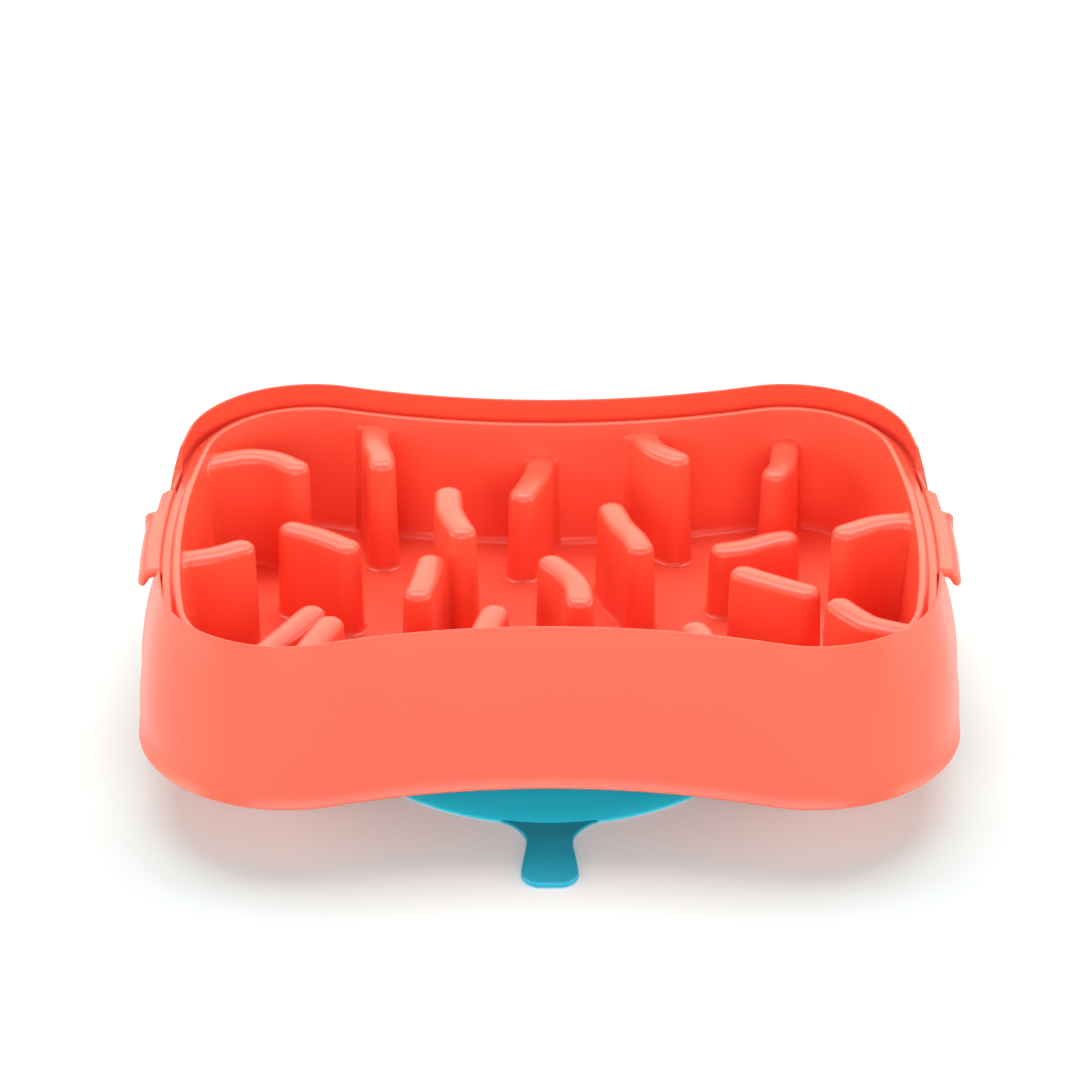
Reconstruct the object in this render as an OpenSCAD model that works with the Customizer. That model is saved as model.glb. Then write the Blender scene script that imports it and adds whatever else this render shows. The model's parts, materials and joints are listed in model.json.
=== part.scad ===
// Slow feeder bowl: an outer bowl on a suction cup, with a lift-out maze insert.
// Lengths are in millimetres. X runs along the bowl, Y from front to rear, Z up.
// The origin is on the table under the middle of the part's box.
// Offsets called "out" are measured outwards from the rim's outline, square to it.
// Depths are measured down from the rim.

/* [Outline of the rim] */
// Length over the rim, end to end
rim_l = 280; // [240:1:340]
// Width over the rim at the two bulges
rim_w = 200; // [190:1:215]
// Width over the rim at the waist
waist_w = 172.8; // [164:0.2:184]

/* [Outer bowl] */
// Height of the outer bowl, from its foot to its rim
bowl_h = 59.2; // [56:0.2:70]
// How far the wall leans out below the rim
wall_lean = 7.9; // [6:0.1:9]
// How far the foot stands out beyond the wall
foot_out = 2.2; // [1:0.1:3]
// Height of the foot's flare
foot_h = 4.6; // [3:0.1:6]
// Thickness of the wall
wall_t = 2.4; // [2:0.1:3]
// Thickness of the wall at the rim
rim_t = 0.8; // [0.6:0.1:1.2]
// Thickness of the bowl's bottom
deck_t = 2; // [1.6:0.1:2.4]

/* [Finger recesses] */
// Width of the gap in the rim at each end
gap_w = 94; // [88:1:100]
// Depth of the gap in the rim
gap_d = 9; // [8.4:0.1:9.6]
// Thickness of the recess's side walls
cheek_t = 1.1; // [0.8:0.1:1.5]
// Half the thickness of the set-in wall
inset_half = 0.6; // [0.5:0.1:0.7]
// Depth at which the recess starts to come back to the wall
recess_d = 24; // [20:0.5:26]
// Depth at which the recess has ended
recess_end_d = 42; // [38:0.5:46]
// How far the foot stands out below a recess
recess_foot_out = 1.1; // [0.5:0.1:1.5]

/* [Maze insert] */
// How far the lip's inner edge stands in from the rim
lip_in = 7.9; // [7.5:0.1:8.4]
// Depth of the lip's top
lip_d = 6.9; // [6.5:0.1:7.2]
// Width of the raised lip
lip_w = 3.2; // [2.8:0.1:3.4]
// Depth of the ledge round the lip
ledge_d = 10.4; // [10:0.1:10.8]
// How far the ledge's outer edge stands in from the rim
ledge_in = 1.8; // [1.6:0.1:2.2]
// Thickness of the ledge
ledge_t = 2; // [1.6:0.1:2.4]
// Thickness of the insert's wall
insert_t = 2; // [1.6:0.1:2.4]
// Thickness of the insert's floor
floor_t = 1.9; // [1.6:0.1:2.4]
// How far the insert's wall leans in from lip to floor
insert_lean = 4.8; // [3:0.1:6]
// Radius where the insert's wall meets its floor
floor_r = 4; // [3:0.5:8]

/* [Ridges] */
// Width of a ridge at its top
ridge_w = 10.6; // [9:0.1:11]
// How far a ridge's foot is wider than its top, on each side
ridge_draft = 0.8; // [0.4:0.1:1]
// Height of the rounding on a ridge's top
ridge_round = 3.4; // [2:0.1:4]
// Depth of the tall ridges' tops
tall_d = 10.8; // [10.5:0.1:14]
// Depth of the middle ridges' tops
mid_d = 19.4; // [16:0.1:24]
// Depth of the low ridge's top
low_d = 28; // [25:0.1:32]

/* [Grip tabs] */
// Width of a tab
tab_w = 61; // [56:0.5:64]
// Depth of a tab's top
tab_d = 8.7; // [8.4:0.1:9]
// How far the turned-down edge reaches out beyond the rim
tab_out = 7.6; // [7:0.1:8]
// Depth of the turned-down edge
tab_drop_d = 16.1; // [15:0.1:17]
// Thickness of the turned-down edge
tab_t = 2.4; // [2:0.1:2.8]

/* [Suction cup] */
// Radius of the cup's lip
cup_r = 81.3; // [76:0.1:84]
// Height of the bowl's foot above the table
cup_gap = 24.6; // [23:0.1:28]
// Thickness of the cup's lip
cup_lip_t = 2; // [1.6:0.1:2.6]
// Width of the flat ring that seals on the table
seal_w = 6; // [4:0.5:8]
// Thickness of the bell at its crown
crown_t = 4; // [3:0.1:5]
// Radius of the socket under the bowl
socket_r = 26; // [24:0.5:30]
// Height of the socket
socket_h = 9; // [8:0.1:10]
// Radius of the cup's button in the socket
button_r = 19.4; // [18:0.1:20]
// Radius of the button's neck
neck_r = 16.8; // [16:0.1:17.2]
// Height of the button's neck
neck_h = 3.4; // [3:0.1:3.8]

/* [Lock plug] */
// Radius of the plug's pin
plug_r = 8; // [7:0.1:9]
// Radius of the plug's head
plug_head_r = 14; // [12:0.5:15]
// Thickness of the plug's head
plug_head_t = 2.6; // [2:0.1:3]
// Length of the plug's pin
plug_l = 9; // [8:0.1:9.6]

/* [Pull tab] */
// Length of the pull tab beyond the cup's lip
pull_l = 39.4; // [34:0.2:44]
// Width of the pull tab at its root
pull_root_w = 34; // [32:0.2:36]
// Width of the pull tab at its neck
pull_neck_w = 16.3; // [15:0.1:18]
// Width of the pull tab near its end
pull_end_w = 20; // [19:0.1:23]
// Thickness of the pull tab
pull_t = 2; // [1.6:0.1:2]

/* [Clearances] */
// Gap between soft or moving pieces
fit_gap = 0.3; // [0.2:0.1:0.4]
// Radial gap round the plug's pin
plug_fit = 0.1; // [0.05:0.05:0.2]
// How far one shape runs into another, or a cut past a face
overrun = 0.5; // [0.3:0.1:0.8]

/* [Hidden] */

// Where the bulges and their arcs sit, as shares of the rim's length
bulge_share = 0.322;
corner_share = 0.1625;
shoulder_share = 0.1468;

half_l = rim_l / 2;
half_w = rim_w / 2;
bulge_x = rim_l * bulge_share;
corner_r = rim_l * corner_share;
shoulder_r = rim_l * shoulder_share;
waist_dip = (rim_w - waist_w) / 2;

// The end arc and the waist arc that meet the bulges' arcs without a kink
end_run = half_l - bulge_x;
corner_y = half_w - corner_r;
shoulder_y = half_w - shoulder_r;
end_r = (end_run * end_run + corner_y * corner_y - corner_r * corner_r)
    / (2 * (end_run - corner_r));
end_x = half_l - end_r;
waist_r = (bulge_x * bulge_x - 2 * shoulder_r * waist_dip + waist_dip * waist_dip)
    / (2 * waist_dip);
waist_cy = half_w - waist_dip + waist_r;
end_angle = atan2(corner_y, bulge_x - end_x);
waist_angle = atan2(waist_cy - shoulder_y, -bulge_x);

// Steps round the outline's arcs
corner_steps = 10;
shoulder_steps = 4;
waist_steps = 5;

// Half widths at the ends where the wall's section changes
slot_y = tab_w / 2 + fit_gap;
recess_y = gap_w / 2 - cheek_t;
gap_y = gap_w / 2;
step_y = fit_gap / 2;

// Stations on the end arc, each with the kind of wall section that it has:
// 0 slot for the tab, 1 finger recess, 2 cheek beside the recess, 3 plain wall,
// 4 plain wall next to a cheek, with the foot of a recess
end_stations = [
    [0, 0], [slot_y * 0.35, 0], [slot_y * 0.7, 0], [slot_y - step_y, 0],
    [slot_y + step_y, 1], [(slot_y + recess_y) / 2, 1], [recess_y - step_y, 1],
    [recess_y + step_y, 2], [gap_y - step_y, 2],
    [gap_y + step_y, 4]
];

// One quarter of the stations, from the end to the waist, as [kind, place] pairs
function quarter_kinds() = concat(
    [for (s = end_stations) s[1]],
    [for (i = [0:corner_steps]) 3],
    [for (i = [1:shoulder_steps]) 3],
    [for (i = [1:waist_steps]) 3]
);

function on_end_arc(y, out) = [end_x + sqrt((end_r + out) * (end_r + out) - y * y), y];

function on_arc(cx, cy, r, a) = [cx + r * cos(a), cy + r * sin(a)];

// The place of station i of the quarter, moved out from the rim
function quarter_point(i, out) =
    let (
        ends = len(end_stations),
        c = i - ends,
        s = c - corner_steps,
        w = s - shoulder_steps
    )
    i < ends ? on_end_arc(end_stations[i][0], out)
    : c <= corner_steps ? on_arc(bulge_x, corner_y, corner_r + out,
        end_angle + (90 - end_angle) * c / corner_steps)
    : s <= shoulder_steps ? on_arc(bulge_x, shoulder_y, shoulder_r + out,
        90 + (waist_angle - 90) * s / shoulder_steps)
    : on_arc(0, waist_cy, waist_r - out,
        waist_angle - 180 + (-90 - (waist_angle - 180)) * w / waist_steps);

kinds = quarter_kinds();
quarter_n = len(kinds);

// The whole turn of stations as [quarter index, x sign, y sign]
turn = concat(
    [for (i = [0:quarter_n - 1]) [i, 1, 1]],
    [for (i = [quarter_n - 2:-1:0]) [i, -1, 1]],
    [for (i = [1:quarter_n - 1]) [i, -1, -1]],
    [for (i = [quarter_n - 2:-1:1]) [i, 1, -1]]
);
turn_n = len(turn);

// One ring of points. path maps a kind of section to a list of [out, depth]
function ring_points(paths, j) = [
    for (t = turn)
        let (
            od = paths[kinds[t[0]]][j],
            p = quarter_point(t[0], od[0])
        )
        [p[0] * t[1], p[1] * t[2], rim_z - od[1]]
];

// A closed skin through the rings, with a fan to a middle point at each end
module skin(paths) {
    rings = len(paths[0]);
    points = concat(
        [for (j = [0:rings - 1]) each ring_points(paths, j)],
        [[0, 0, rim_z - paths[3][0][1]], [0, 0, rim_z - paths[3][rings - 1][1]]]
    );
    low = rings * turn_n;
    last = (rings - 1) * turn_n;
    faces = concat(
        [for (j = [0:rings - 2], i = [0:turn_n - 1], half = [0, 1])
            let (
                k = (i + 1) % turn_n,
                a = j * turn_n + i,
                b = j * turn_n + k,
                c = a + turn_n,
                d = b + turn_n
            )
            half == 0 ? [a, c, b] : [b, c, d]],
        [for (i = [0:turn_n - 1]) [low, i, (i + 1) % turn_n]],
        [for (i = [0:turn_n - 1]) [low + 1, last + (i + 1) % turn_n, last + i]]
    );
    polyhedron(points = points, faces = faces);
}

// Heights above the table
rim_z = cup_gap + bowl_h;
deck_d = bowl_h - deck_t;

// The outer face of the plain wall: an arc that ends upright, then a flare
lean_d = bowl_h - foot_h;
lean_r = (lean_d * lean_d + wall_lean * wall_lean) / (2 * wall_lean);
function lean_at(d) = wall_lean - lean_r + sqrt(lean_r * lean_r - pow(max(lean_d - d, 0), 2));
function foot_reach(kind) = kind == 3 ? foot_out : recess_foot_out;
function wall_out(d, kind) =
    lean_at(d) + foot_reach(kind) * pow(max(d - lean_d, 0) / foot_h, 2);

// How far a recess has come back to the plain wall at a depth, from 0 to 1
function recess_share(d) =
    let (u = min(max((d - recess_d) / (recess_end_d - recess_d), 0), 1))
    u * u * (3 - 2 * u);
function mix(a, b, u) = a + (b - a) * u;

slot_d = tab_drop_d - tab_t - fit_gap;
function top_depth(kind) = kind == 0 ? slot_d : gap_d;

// Depths of the wall's lower points, as shares from the top edge to the recess's end
wall_shares = [0, 0.12, 0.3, 0.5, 0.65, 0.8, 0.9, 1];
function wall_depths(kind) = [
    for (s = wall_shares) mix(top_depth(kind) + fit_gap, recess_end_d, s)
];
foot_shares = [0.5, 0.75, 0.9];

function outer_face(kind) = concat(
    [[wall_lean + foot_reach(kind) - rim_t, bowl_h],
        [wall_lean + foot_reach(kind), bowl_h - rim_t]],
    [for (s = foot_shares) let (d = bowl_h - foot_h * s) [wall_out(d, kind), d]],
    [for (d = [lean_d, (lean_d + recess_end_d) / 2]) [wall_out(d, kind), d]],
    [for (i = [len(wall_shares) - 1:-1:0])
        let (d = wall_depths(kind)[i], plain = wall_out(d, kind))
        [kind < 2 ? mix(inset_half, plain, recess_share(d)) : plain, d]]
);

// The wall thickens from the rim down to its full thickness
function wall_in(d) = wall_out(d, 3) - mix(rim_t, wall_t, min(d / gap_d, 1));

function inner_face(kind) = concat(
    [for (i = [0:len(wall_shares) - 1])
        let (
            d = wall_depths(kind)[i],
            back = recess_share(d - wall_t / 2)
        )
        [kind < 3 ? mix(-inset_half, wall_in(d), back) : wall_in(d), d]],
    [for (d = [(lean_d + recess_end_d) / 2]) [wall_in(d), d]],
    [[wall_lean - wall_t, deck_d - wall_t], [wall_lean - wall_t - wall_t / 3, deck_d - wall_t / 3],
        [wall_lean - 2 * wall_t, deck_d]]
);

// The rim, or the top edge of the set-in wall and of the cheeks
rim_shares = [0.7, 0.4, 0.12, 0];
edge_n = 2 * len(rim_shares);
function top_edge(kind) =
    let (
        d = top_depth(kind),
        from = kind < 2 ? inset_half : wall_out(d, kind),
        crown = fit_gap / 2
    )
    kind > 2
    ? concat(
        [for (s = rim_shares) [wall_out(gap_d * s, kind), gap_d * s]],
        [for (i = [len(rim_shares) - 1:-1:0])
            let (d = gap_d * rim_shares[i]) [wall_in(d), d]])
    : [for (i = [0:edge_n - 1])
        let (u = (i + 1) / (edge_n + 1))
        [mix(from, -inset_half, u), d - crown * sin(180 * u)]];

function bowl_path(kind) = concat(outer_face(kind), top_edge(kind), inner_face(kind));

module socket() {
    wall = socket_r - button_r - fit_gap;
    mouth_r = neck_r + fit_gap;
    seat_r = button_r + fit_gap;
    rotate_extrude($fn = 96)
        polygon([
            [mouth_r, cup_gap - socket_h],
            [socket_r - wall / 3, cup_gap - socket_h],
            [socket_r, cup_gap - socket_h + wall / 3],
            [socket_r, cup_gap + deck_t / 2],
            [seat_r, cup_gap + deck_t / 2],
            [seat_r, cup_gap - socket_h + neck_h],
            [mouth_r, cup_gap - socket_h + neck_h]
        ]);
}

module outer_bowl() {
    color("salmon")
        at_middle() {
            skin([for (kind = [0:4]) bowl_path(kind)]);
            socket();
        }
}

// The insert's floor lies on the bowl's bottom
floor_d = deck_d - floor_t;
function insert_in(d) = -lip_in - insert_lean * max(d - lip_d, 0) / (floor_d - lip_d);

// The curve from wall to floor, as steps of a quarter turn
fillet_steps = 5;
function floor_fillet(r, d_low, out) = [
    for (i = [0:fillet_steps])
        let (a = 90 * i / fillet_steps)
        [out - r * (1 - cos(a)), d_low - r * (1 - sin(a))]
];

// The lip's rounded top and the ledge outside it, as shares of their widths
lip_shares = [[0, 0.13], [0.1, 0.03], [0.31, 0], [0.62, 0.04], [0.87, 0.2], [1, 0.55], [1.1, 0.86]];
lip_h = ledge_d - lip_d;
lip_edge = [for (s = lip_shares) [-lip_in + lip_w * s[0], lip_d + lip_h * s[1]]];
wall_steps = 3;
under_d = ledge_d + ledge_t;

function insert_outer() = concat(
    [for (i = [fillet_steps:-1:0])
        floor_fillet(floor_r, deck_d, insert_in(floor_d - floor_r) + insert_t)[i]],
    [for (s = [0.5]) let (d = mix(floor_d - floor_r, under_d, s)) [insert_in(d) + insert_t, d]],
    [[insert_in(under_d) + insert_t, under_d + overrun],
        [insert_in(under_d) + insert_t + overrun, under_d],
        [-ledge_in - overrun / 2, under_d],
        [-ledge_in, under_d - overrun / 2],
        [-ledge_in, ledge_d + overrun / 2],
        [-ledge_in - overrun / 2, ledge_d],
        [-lip_in + lip_w * 1.35, ledge_d]]
);

function insert_inner() = concat(
    [for (i = [len(lip_edge) - 1:-1:0]) lip_edge[i]],
    [for (i = [1:wall_steps])
        let (d = mix(ledge_d, floor_d - floor_r, i / (wall_steps + 1)))
        [insert_in(d), d]],
    [for (i = [0:fillet_steps])
        floor_fillet(floor_r, floor_d, insert_in(floor_d - floor_r))[i]]
);

module insert_shell() {
    path = concat(insert_outer(), insert_inner());
    skin([for (kind = [0:4]) path]);
}

// The space that the ridges may fill: the inside of the insert, from its floor to its lip
module ridge_space() {
    inner = insert_inner();
    path = [for (i = [len(inner) - 1:-1:len(lip_edge) - 1]) inner[i]];
    skin([for (kind = [0:4]) path]);
}

// Ridges: the depth of the top, then points of the middle line as shares of
// half the rim's length and half its width. Lines that start past 0.85 of the
// half width, or 0.95 of the half length, run into the wall.
ridges = [
    [tall_d, [[-0.97, 0.55], [-0.87, 0.615], [-0.8, 0.64], [-0.735, 0.615], [-0.68, 0.55]]],
    [tall_d, [[-0.475, 0.9], [-0.47, 0.74], [-0.455, 0.65], [-0.45, 0.58]]],
    [tall_d, [[-0.267, 0.332], [-0.262, 0.215], [-0.248, 0.14], [-0.227, 0.05]]],
    [mid_d, [[-0.02, 0.85], [-0.025, 0.72], [-0.04, 0.62], [-0.07, 0.49]]],
    [tall_d, [[-0.98, -0.18], [-0.87, -0.133], [-0.796, -0.075]]],
    [mid_d, [[-0.675, 0.222], [-0.6, 0.165], [-0.53, 0.09]]],
    [mid_d, [[-0.604, -0.402], [-0.686, -0.61], [-0.8, -0.9]]],
    [tall_d, [[-0.549, -0.627], [-0.585, -0.77], [-0.63, -0.95]]],
    [mid_d, [[-0.308, -0.03], [-0.322, -0.155], [-0.336, -0.26]]],
    [mid_d, [[-0.141, -0.397], [-0.165, -0.54], [-0.2, -0.85]]],
    [mid_d, [[0.007, -0.034], [0.043, -0.11], [0.07, -0.2], [0.077, -0.31]]],
    [mid_d, [[0.167, 0.37], [0.191, 0.25], [0.219, 0.165], [0.236, 0.085]]],
    [tall_d, [[0.238, 0.86], [0.284, 0.705], [0.343, 0.62]]],
    [mid_d, [[0.65, 0.95], [0.637, 0.75], [0.613, 0.66]]],
    [low_d, [[0.461, 0.218], [0.517, 0.24], [0.586, 0.292], [0.625, 0.31]]],
    [mid_d, [[0.503, -0.115], [0.557, -0.165], [0.614, -0.213], [0.655, -0.245]]],
    [tall_d, [[0.98, 0.14], [0.865, 0.115], [0.797, 0.065], [0.771, 0.042]]],
    [tall_d, [[0.728, -0.5], [0.765, -0.575], [0.811, -0.638], [0.93, -0.71]]],
    [mid_d, [[0.366, -0.517], [0.381, -0.58], [0.42, -0.9]]]
];

// A ridge's section is turned about its middle to make a post, and posts are joined
module post(top_d) {
    low_z = rim_z - floor_d - floor_t / 2;
    top_z = rim_z - top_d;
    r = ridge_w / 2;
    rotate_extrude($fn = 16)
        polygon([
            [0, low_z],
            [r + ridge_draft, low_z],
            [r, top_z - ridge_round],
            [r * 0.86, top_z - ridge_round * 0.38],
            [r * 0.45, top_z],
            [0, top_z]
        ]);
}

module ridge(top_d, line) {
    for (i = [0:len(line) - 2])
        hull() {
            translate([line[i][0] * half_l, line[i][1] * half_w, 0])
                post(top_d);
            translate([line[i + 1][0] * half_l, line[i + 1][1] * half_w, 0])
                post(top_d);
        }
}

// A grip tab's section as [out, depth] pairs, upper face and under face, from root to edge.
// A flat plate comes first, then a crease and the turned-down hem
tab_upper = [
    [-ledge_in - overrun, ledge_d + step_y], [-inset_half - fit_gap, ledge_d + step_y],
    [-inset_half, tab_d + fit_gap], [inset_half, tab_d], [tab_out * 0.33, tab_d + fit_gap],
    [tab_out * 0.6, tab_d + tab_t * 0.42], [tab_out * 0.74, tab_d + tab_t * 0.8],
    [tab_out * 0.87, mix(tab_d, tab_drop_d, 0.6)],
    [tab_out - fit_gap / 2, tab_drop_d - tab_t * 0.38], [tab_out, tab_drop_d - fit_gap * 2]
];
tab_under = [
    [-ledge_in - overrun, under_d - step_y], [-inset_half - fit_gap, under_d - step_y],
    [-inset_half, under_d + fit_gap], [inset_half, under_d + fit_gap], [tab_out * 0.2, under_d],
    [tab_out * 0.38, under_d + fit_gap], [tab_out * 0.5, under_d + fit_gap * 3],
    [tab_out * 0.62, mix(under_d, tab_drop_d, 0.55)],
    [tab_out * 0.78, tab_drop_d - fit_gap], [tab_out - fit_gap, tab_drop_d]
];
tab_n = len(tab_upper);
tab_steps = 12;
plate_points = 7;

// Shares of the tab's half width: where the hem ends towards the rear, where the plate
// gets narrower there, how narrow it gets, and how its two corners are drawn in
hem_end_shares = [0.34, 0.43];
plate_end_shares = [0.4, 0.52];
plate_rear_share = 0.46;
tab_corner_share = 0.06;
tab_keep_share = 0.78;
function smooth(u) = let (v = min(max(u, 0), 1)) v * v * (3 - 2 * v);
function falls(y, shares) = 1 - smooth((y / (tab_w / 2) - shares[0]) / (shares[1] - shares[0]));

// The tab's section at y
function tab_ring(y) =
    let (
        corner = tab_w * tab_corner_share,
        past = min(max(abs(y) - tab_w / 2 + corner, 0) / corner, 1),
        keep = mix(plate_rear_share, 1, falls(y, plate_end_shares))
            * mix(1, tab_keep_share, 1 - cos(90 * past)),
        hem = falls(y, hem_end_shares)
    )
    concat(
        [for (i = [0:tab_n - 1]) tab_place(y, tab_upper[i], tab_upper[min(i, plate_points - 1)], keep, hem)],
        [for (i = [tab_n - 1:-1:0]) tab_place(y, tab_under[i], tab_under[min(i, plate_points - 1)], keep, hem)]
    );

// One point of that section: drawn in by keep, and its drop below the plate kept by hem
function tab_place(y, p, plate, keep, hem) =
    concat(
        on_end_arc(y, p[0] > inset_half ? mix(inset_half, p[0], keep) : p[0]),
        rim_z - mix(plate[1], p[1], mix(tab_corner_share, 1, hem))
    );

module grip_tab() {
    ys = [for (i = [-tab_steps:tab_steps])
        sin(90 * i / tab_steps) * tab_w / 2];
    n = 2 * tab_n;
    points = [for (y = ys) each tab_ring(y)];
    last = (len(ys) - 1) * n;
    faces = concat(
        [for (j = [0:len(ys) - 2], i = [0:n - 1], half = [0, 1])
            let (
                k = (i + 1) % n,
                a = j * n + i,
                b = j * n + k,
                c = a + n,
                d = b + n
            )
            half == 0 ? [a, c, b] : [b, c, d]],
        [for (i = [0:tab_n - 2], half = [0, 1])
            half == 0 ? [i, i + 1, n - 1 - i] : [i + 1, n - 2 - i, n - 1 - i]],
        [for (i = [0:tab_n - 2], half = [0, 1])
            half == 0 ? [last + i, last + n - 1 - i, last + i + 1]
            : [last + i + 1, last + n - 1 - i, last + n - 2 - i]]
    );
    polyhedron(points = points, faces = faces);
}

module maze_insert() {
    color("tomato")
        at_middle() {
            insert_shell();
            for (side = [0, 1])
                mirror([side, 0, 0])
                    grip_tab();
        }
}

// The ridges are moulded in one with the insert, and stand on its floor
module maze_ridges() {
    color("orangered")
        at_middle()
            intersection() {
                ridge_space();
                for (r = ridges)
                    ridge(r[0], r[1]);
            }
}

// The cup's bell: a flat seal on the table, a straight slope, and a crown under the socket
crown_z = cup_gap - socket_h;
under_z = crown_z - crown_t;
button_z = crown_z + neck_h + fit_gap;
button_top_z = cup_gap - fit_gap;

module suction_cup() {
    edge = cup_lip_t / 4;
    bevel = neck_h / 4;
    color("deepskyblue")
        at_middle() {
            rotate_extrude($fn = 120)
                polygon([
                    [plug_r + plug_fit, under_z],
                    [socket_r, under_z],
                    [cup_r - seal_w - cup_lip_t, cup_lip_t],
                    [cup_r - seal_w, 0],
                    [cup_r - edge, 0],
                    [cup_r, edge],
                    [cup_r, cup_lip_t - edge],
                    [cup_r - edge, cup_lip_t],
                    [cup_r - seal_w / 2, cup_lip_t + edge],
                    [socket_r + crown_t, crown_z - edge],
                    [socket_r, crown_z],
                    [neck_r, crown_z],
                    [neck_r, button_z],
                    [button_r, button_z],
                    [button_r, button_top_z - bevel],
                    [button_r - bevel, button_top_z],
                    [0, button_top_z],
                    [0, plug_end_z + plug_fit],
                    [plug_r + plug_fit, plug_end_z + plug_fit]
                ]);
            // The straight edge that the pull tab starts from
            translate([-pull_root_w / 2, -cup_r, 0])
                cube([pull_root_w, seal_w / 2, cup_lip_t - edge]);
        }
}

plug_end_z = under_z + plug_l;

module lock_plug() {
    bevel = plug_head_t / 4;
    color("dimgray")
        at_middle()
            rotate_extrude($fn = 72)
                polygon([
                    [0, under_z - plug_head_t],
                    [plug_head_r - bevel, under_z - plug_head_t],
                    [plug_head_r, under_z - plug_head_t + bevel],
                    [plug_head_r, under_z],
                    [plug_r, under_z],
                    [plug_r, plug_end_z - bevel],
                    [plug_r - bevel, plug_end_z],
                    [0, plug_end_z]
                ]);
}

// The pull tab's outline: flared root, neck, wide end with round corners
pull_root_y = -cup_r - fit_gap;
pull_end_y = -cup_r - pull_l;
flare_w = (pull_root_w - pull_neck_w) / 2;
flare_r = flare_w * 1.5;
neck_y = pull_root_y - sqrt(flare_r * flare_r - pow(flare_r - flare_w, 2));
corner_pull_r = pull_end_w * 0.36;
arc_steps = 8;
function pull_side() = concat(
    [for (i = [0:arc_steps])
        let (a0 = asin((pull_root_y - neck_y) / flare_r), a = a0 * (1 - i / arc_steps))
        [pull_neck_w / 2 + flare_r * (1 - cos(a)), neck_y + flare_r * sin(a)]],
    [for (i = [0:arc_steps])
        let (a = 90 * i / arc_steps)
        [pull_end_w / 2 - corner_pull_r * (1 - cos(a)),
            pull_end_y + corner_pull_r * (1 - sin(a))]]
);

module pull_tab() {
    side = pull_side();
    color("teal")
        at_middle()
            linear_extrude(height = pull_t)
                polygon(concat(
                    side,
                    [for (i = [len(side) - 1:-1:0]) [-side[i][0], side[i][1]]]
                ));
}

// The pull tab makes the part's box longer at the front, so the bowl's middle is moved back
middle_y = (cup_r + pull_l - half_w - wall_lean - foot_out) / 2;

module at_middle() {
    translate([0, middle_y, 0])
        children();
}

outer_bowl();
maze_insert();
maze_ridges();
suction_cup();
lock_plug();
pull_tab();
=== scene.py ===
"""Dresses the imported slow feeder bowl: a moulded bowl on a suction cup, with a lift-out maze insert."""

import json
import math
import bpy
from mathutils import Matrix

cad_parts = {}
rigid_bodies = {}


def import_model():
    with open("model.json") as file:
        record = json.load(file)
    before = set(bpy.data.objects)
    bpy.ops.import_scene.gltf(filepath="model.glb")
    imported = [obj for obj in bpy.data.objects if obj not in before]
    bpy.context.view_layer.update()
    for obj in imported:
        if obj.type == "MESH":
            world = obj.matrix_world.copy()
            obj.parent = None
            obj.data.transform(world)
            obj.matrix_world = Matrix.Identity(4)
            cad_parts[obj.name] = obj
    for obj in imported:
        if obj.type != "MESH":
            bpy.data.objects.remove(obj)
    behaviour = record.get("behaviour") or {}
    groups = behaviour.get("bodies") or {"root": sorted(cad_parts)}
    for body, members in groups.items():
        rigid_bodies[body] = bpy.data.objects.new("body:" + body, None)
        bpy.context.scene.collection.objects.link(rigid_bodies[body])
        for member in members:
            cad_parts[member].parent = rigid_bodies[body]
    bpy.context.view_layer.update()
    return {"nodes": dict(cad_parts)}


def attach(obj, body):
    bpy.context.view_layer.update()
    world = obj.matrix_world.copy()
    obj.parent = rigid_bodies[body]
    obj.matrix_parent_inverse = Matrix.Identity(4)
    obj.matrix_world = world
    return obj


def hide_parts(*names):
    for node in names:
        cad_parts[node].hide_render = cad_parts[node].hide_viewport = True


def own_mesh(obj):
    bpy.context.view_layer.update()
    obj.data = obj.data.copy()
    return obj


bl_info = {
    "name": "Slow Feeder Bowl",
    "version": (1, 0, 0),
    "blender": (4, 5, 0),
    "location": "View3D > Sidebar > Feeder",
    "description": "Builds a slow feeder bowl with a maze insert, a suction cup and a pull tab",
    "category": "Object",
}

import bmesh
import bpy
import numpy as np
from bpy.props import FloatProperty, FloatVectorProperty, IntProperty, PointerProperty
from mathutils import Vector

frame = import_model()

# The outline's bulges and arcs, as shares of the rim's length
BULGE_SHARE, CORNER_SHARE, SHOULDER_SHARE = 0.322, 0.1625, 0.1468

# Edges sharper than this stay sharp, and points nearer than this are one
SHARP_ANGLE, MERGE_DISTANCE = math.radians(35), 1e-7

# Stations across an end, by their distance from its middle: the bowl's, the insert's,
# and the fine ones that the ridges are measured against
BOWL_STATIONS = (
    0.0, 0.006, 0.012, 0.018, 0.023, 0.027, 0.034, 0.037, 0.04, 0.043, 0.0488, 0.051, 0.054, 0.057, 0.0595
)
INSERT_STATIONS, RIDGE_STATIONS = np.linspace(0, 0.0585, 16), np.linspace(0, 0.0595, 120)

# How widely the bowl's sections blend into each other: at the slot for the tab, at the
# recess's side walls, and from the gap to the plain foot
SLOT_STEP, CHEEK_STEP = 0.00035, 0.00018
SLOT_BLEND, CHEEK_BLEND, FOOT_BLEND = 0.00085, 0.00045, 0.0145

# The bead under the ledge: how far down it stands out in full, and how far it fades
BEAD_FULL, BEAD_FADE = 0.001, 0.006

# The power that flattens the top of a wide edge of the bowl
FLAT_TOP = 0.35

# The raised lip, from the ledge to the inner face, as shares of its width and its height
LIP = (
    (1.5, 1.0), (1.32, 0.985), (1.15, 0.9), (1.03, 0.62), (0.94, 0.33), (0.8, 0.11), (0.58, 0.02),
    (0.34, 0.0), (0.14, 0.04), (0.03, 0.13), (0.0, 0.28),
)

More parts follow.
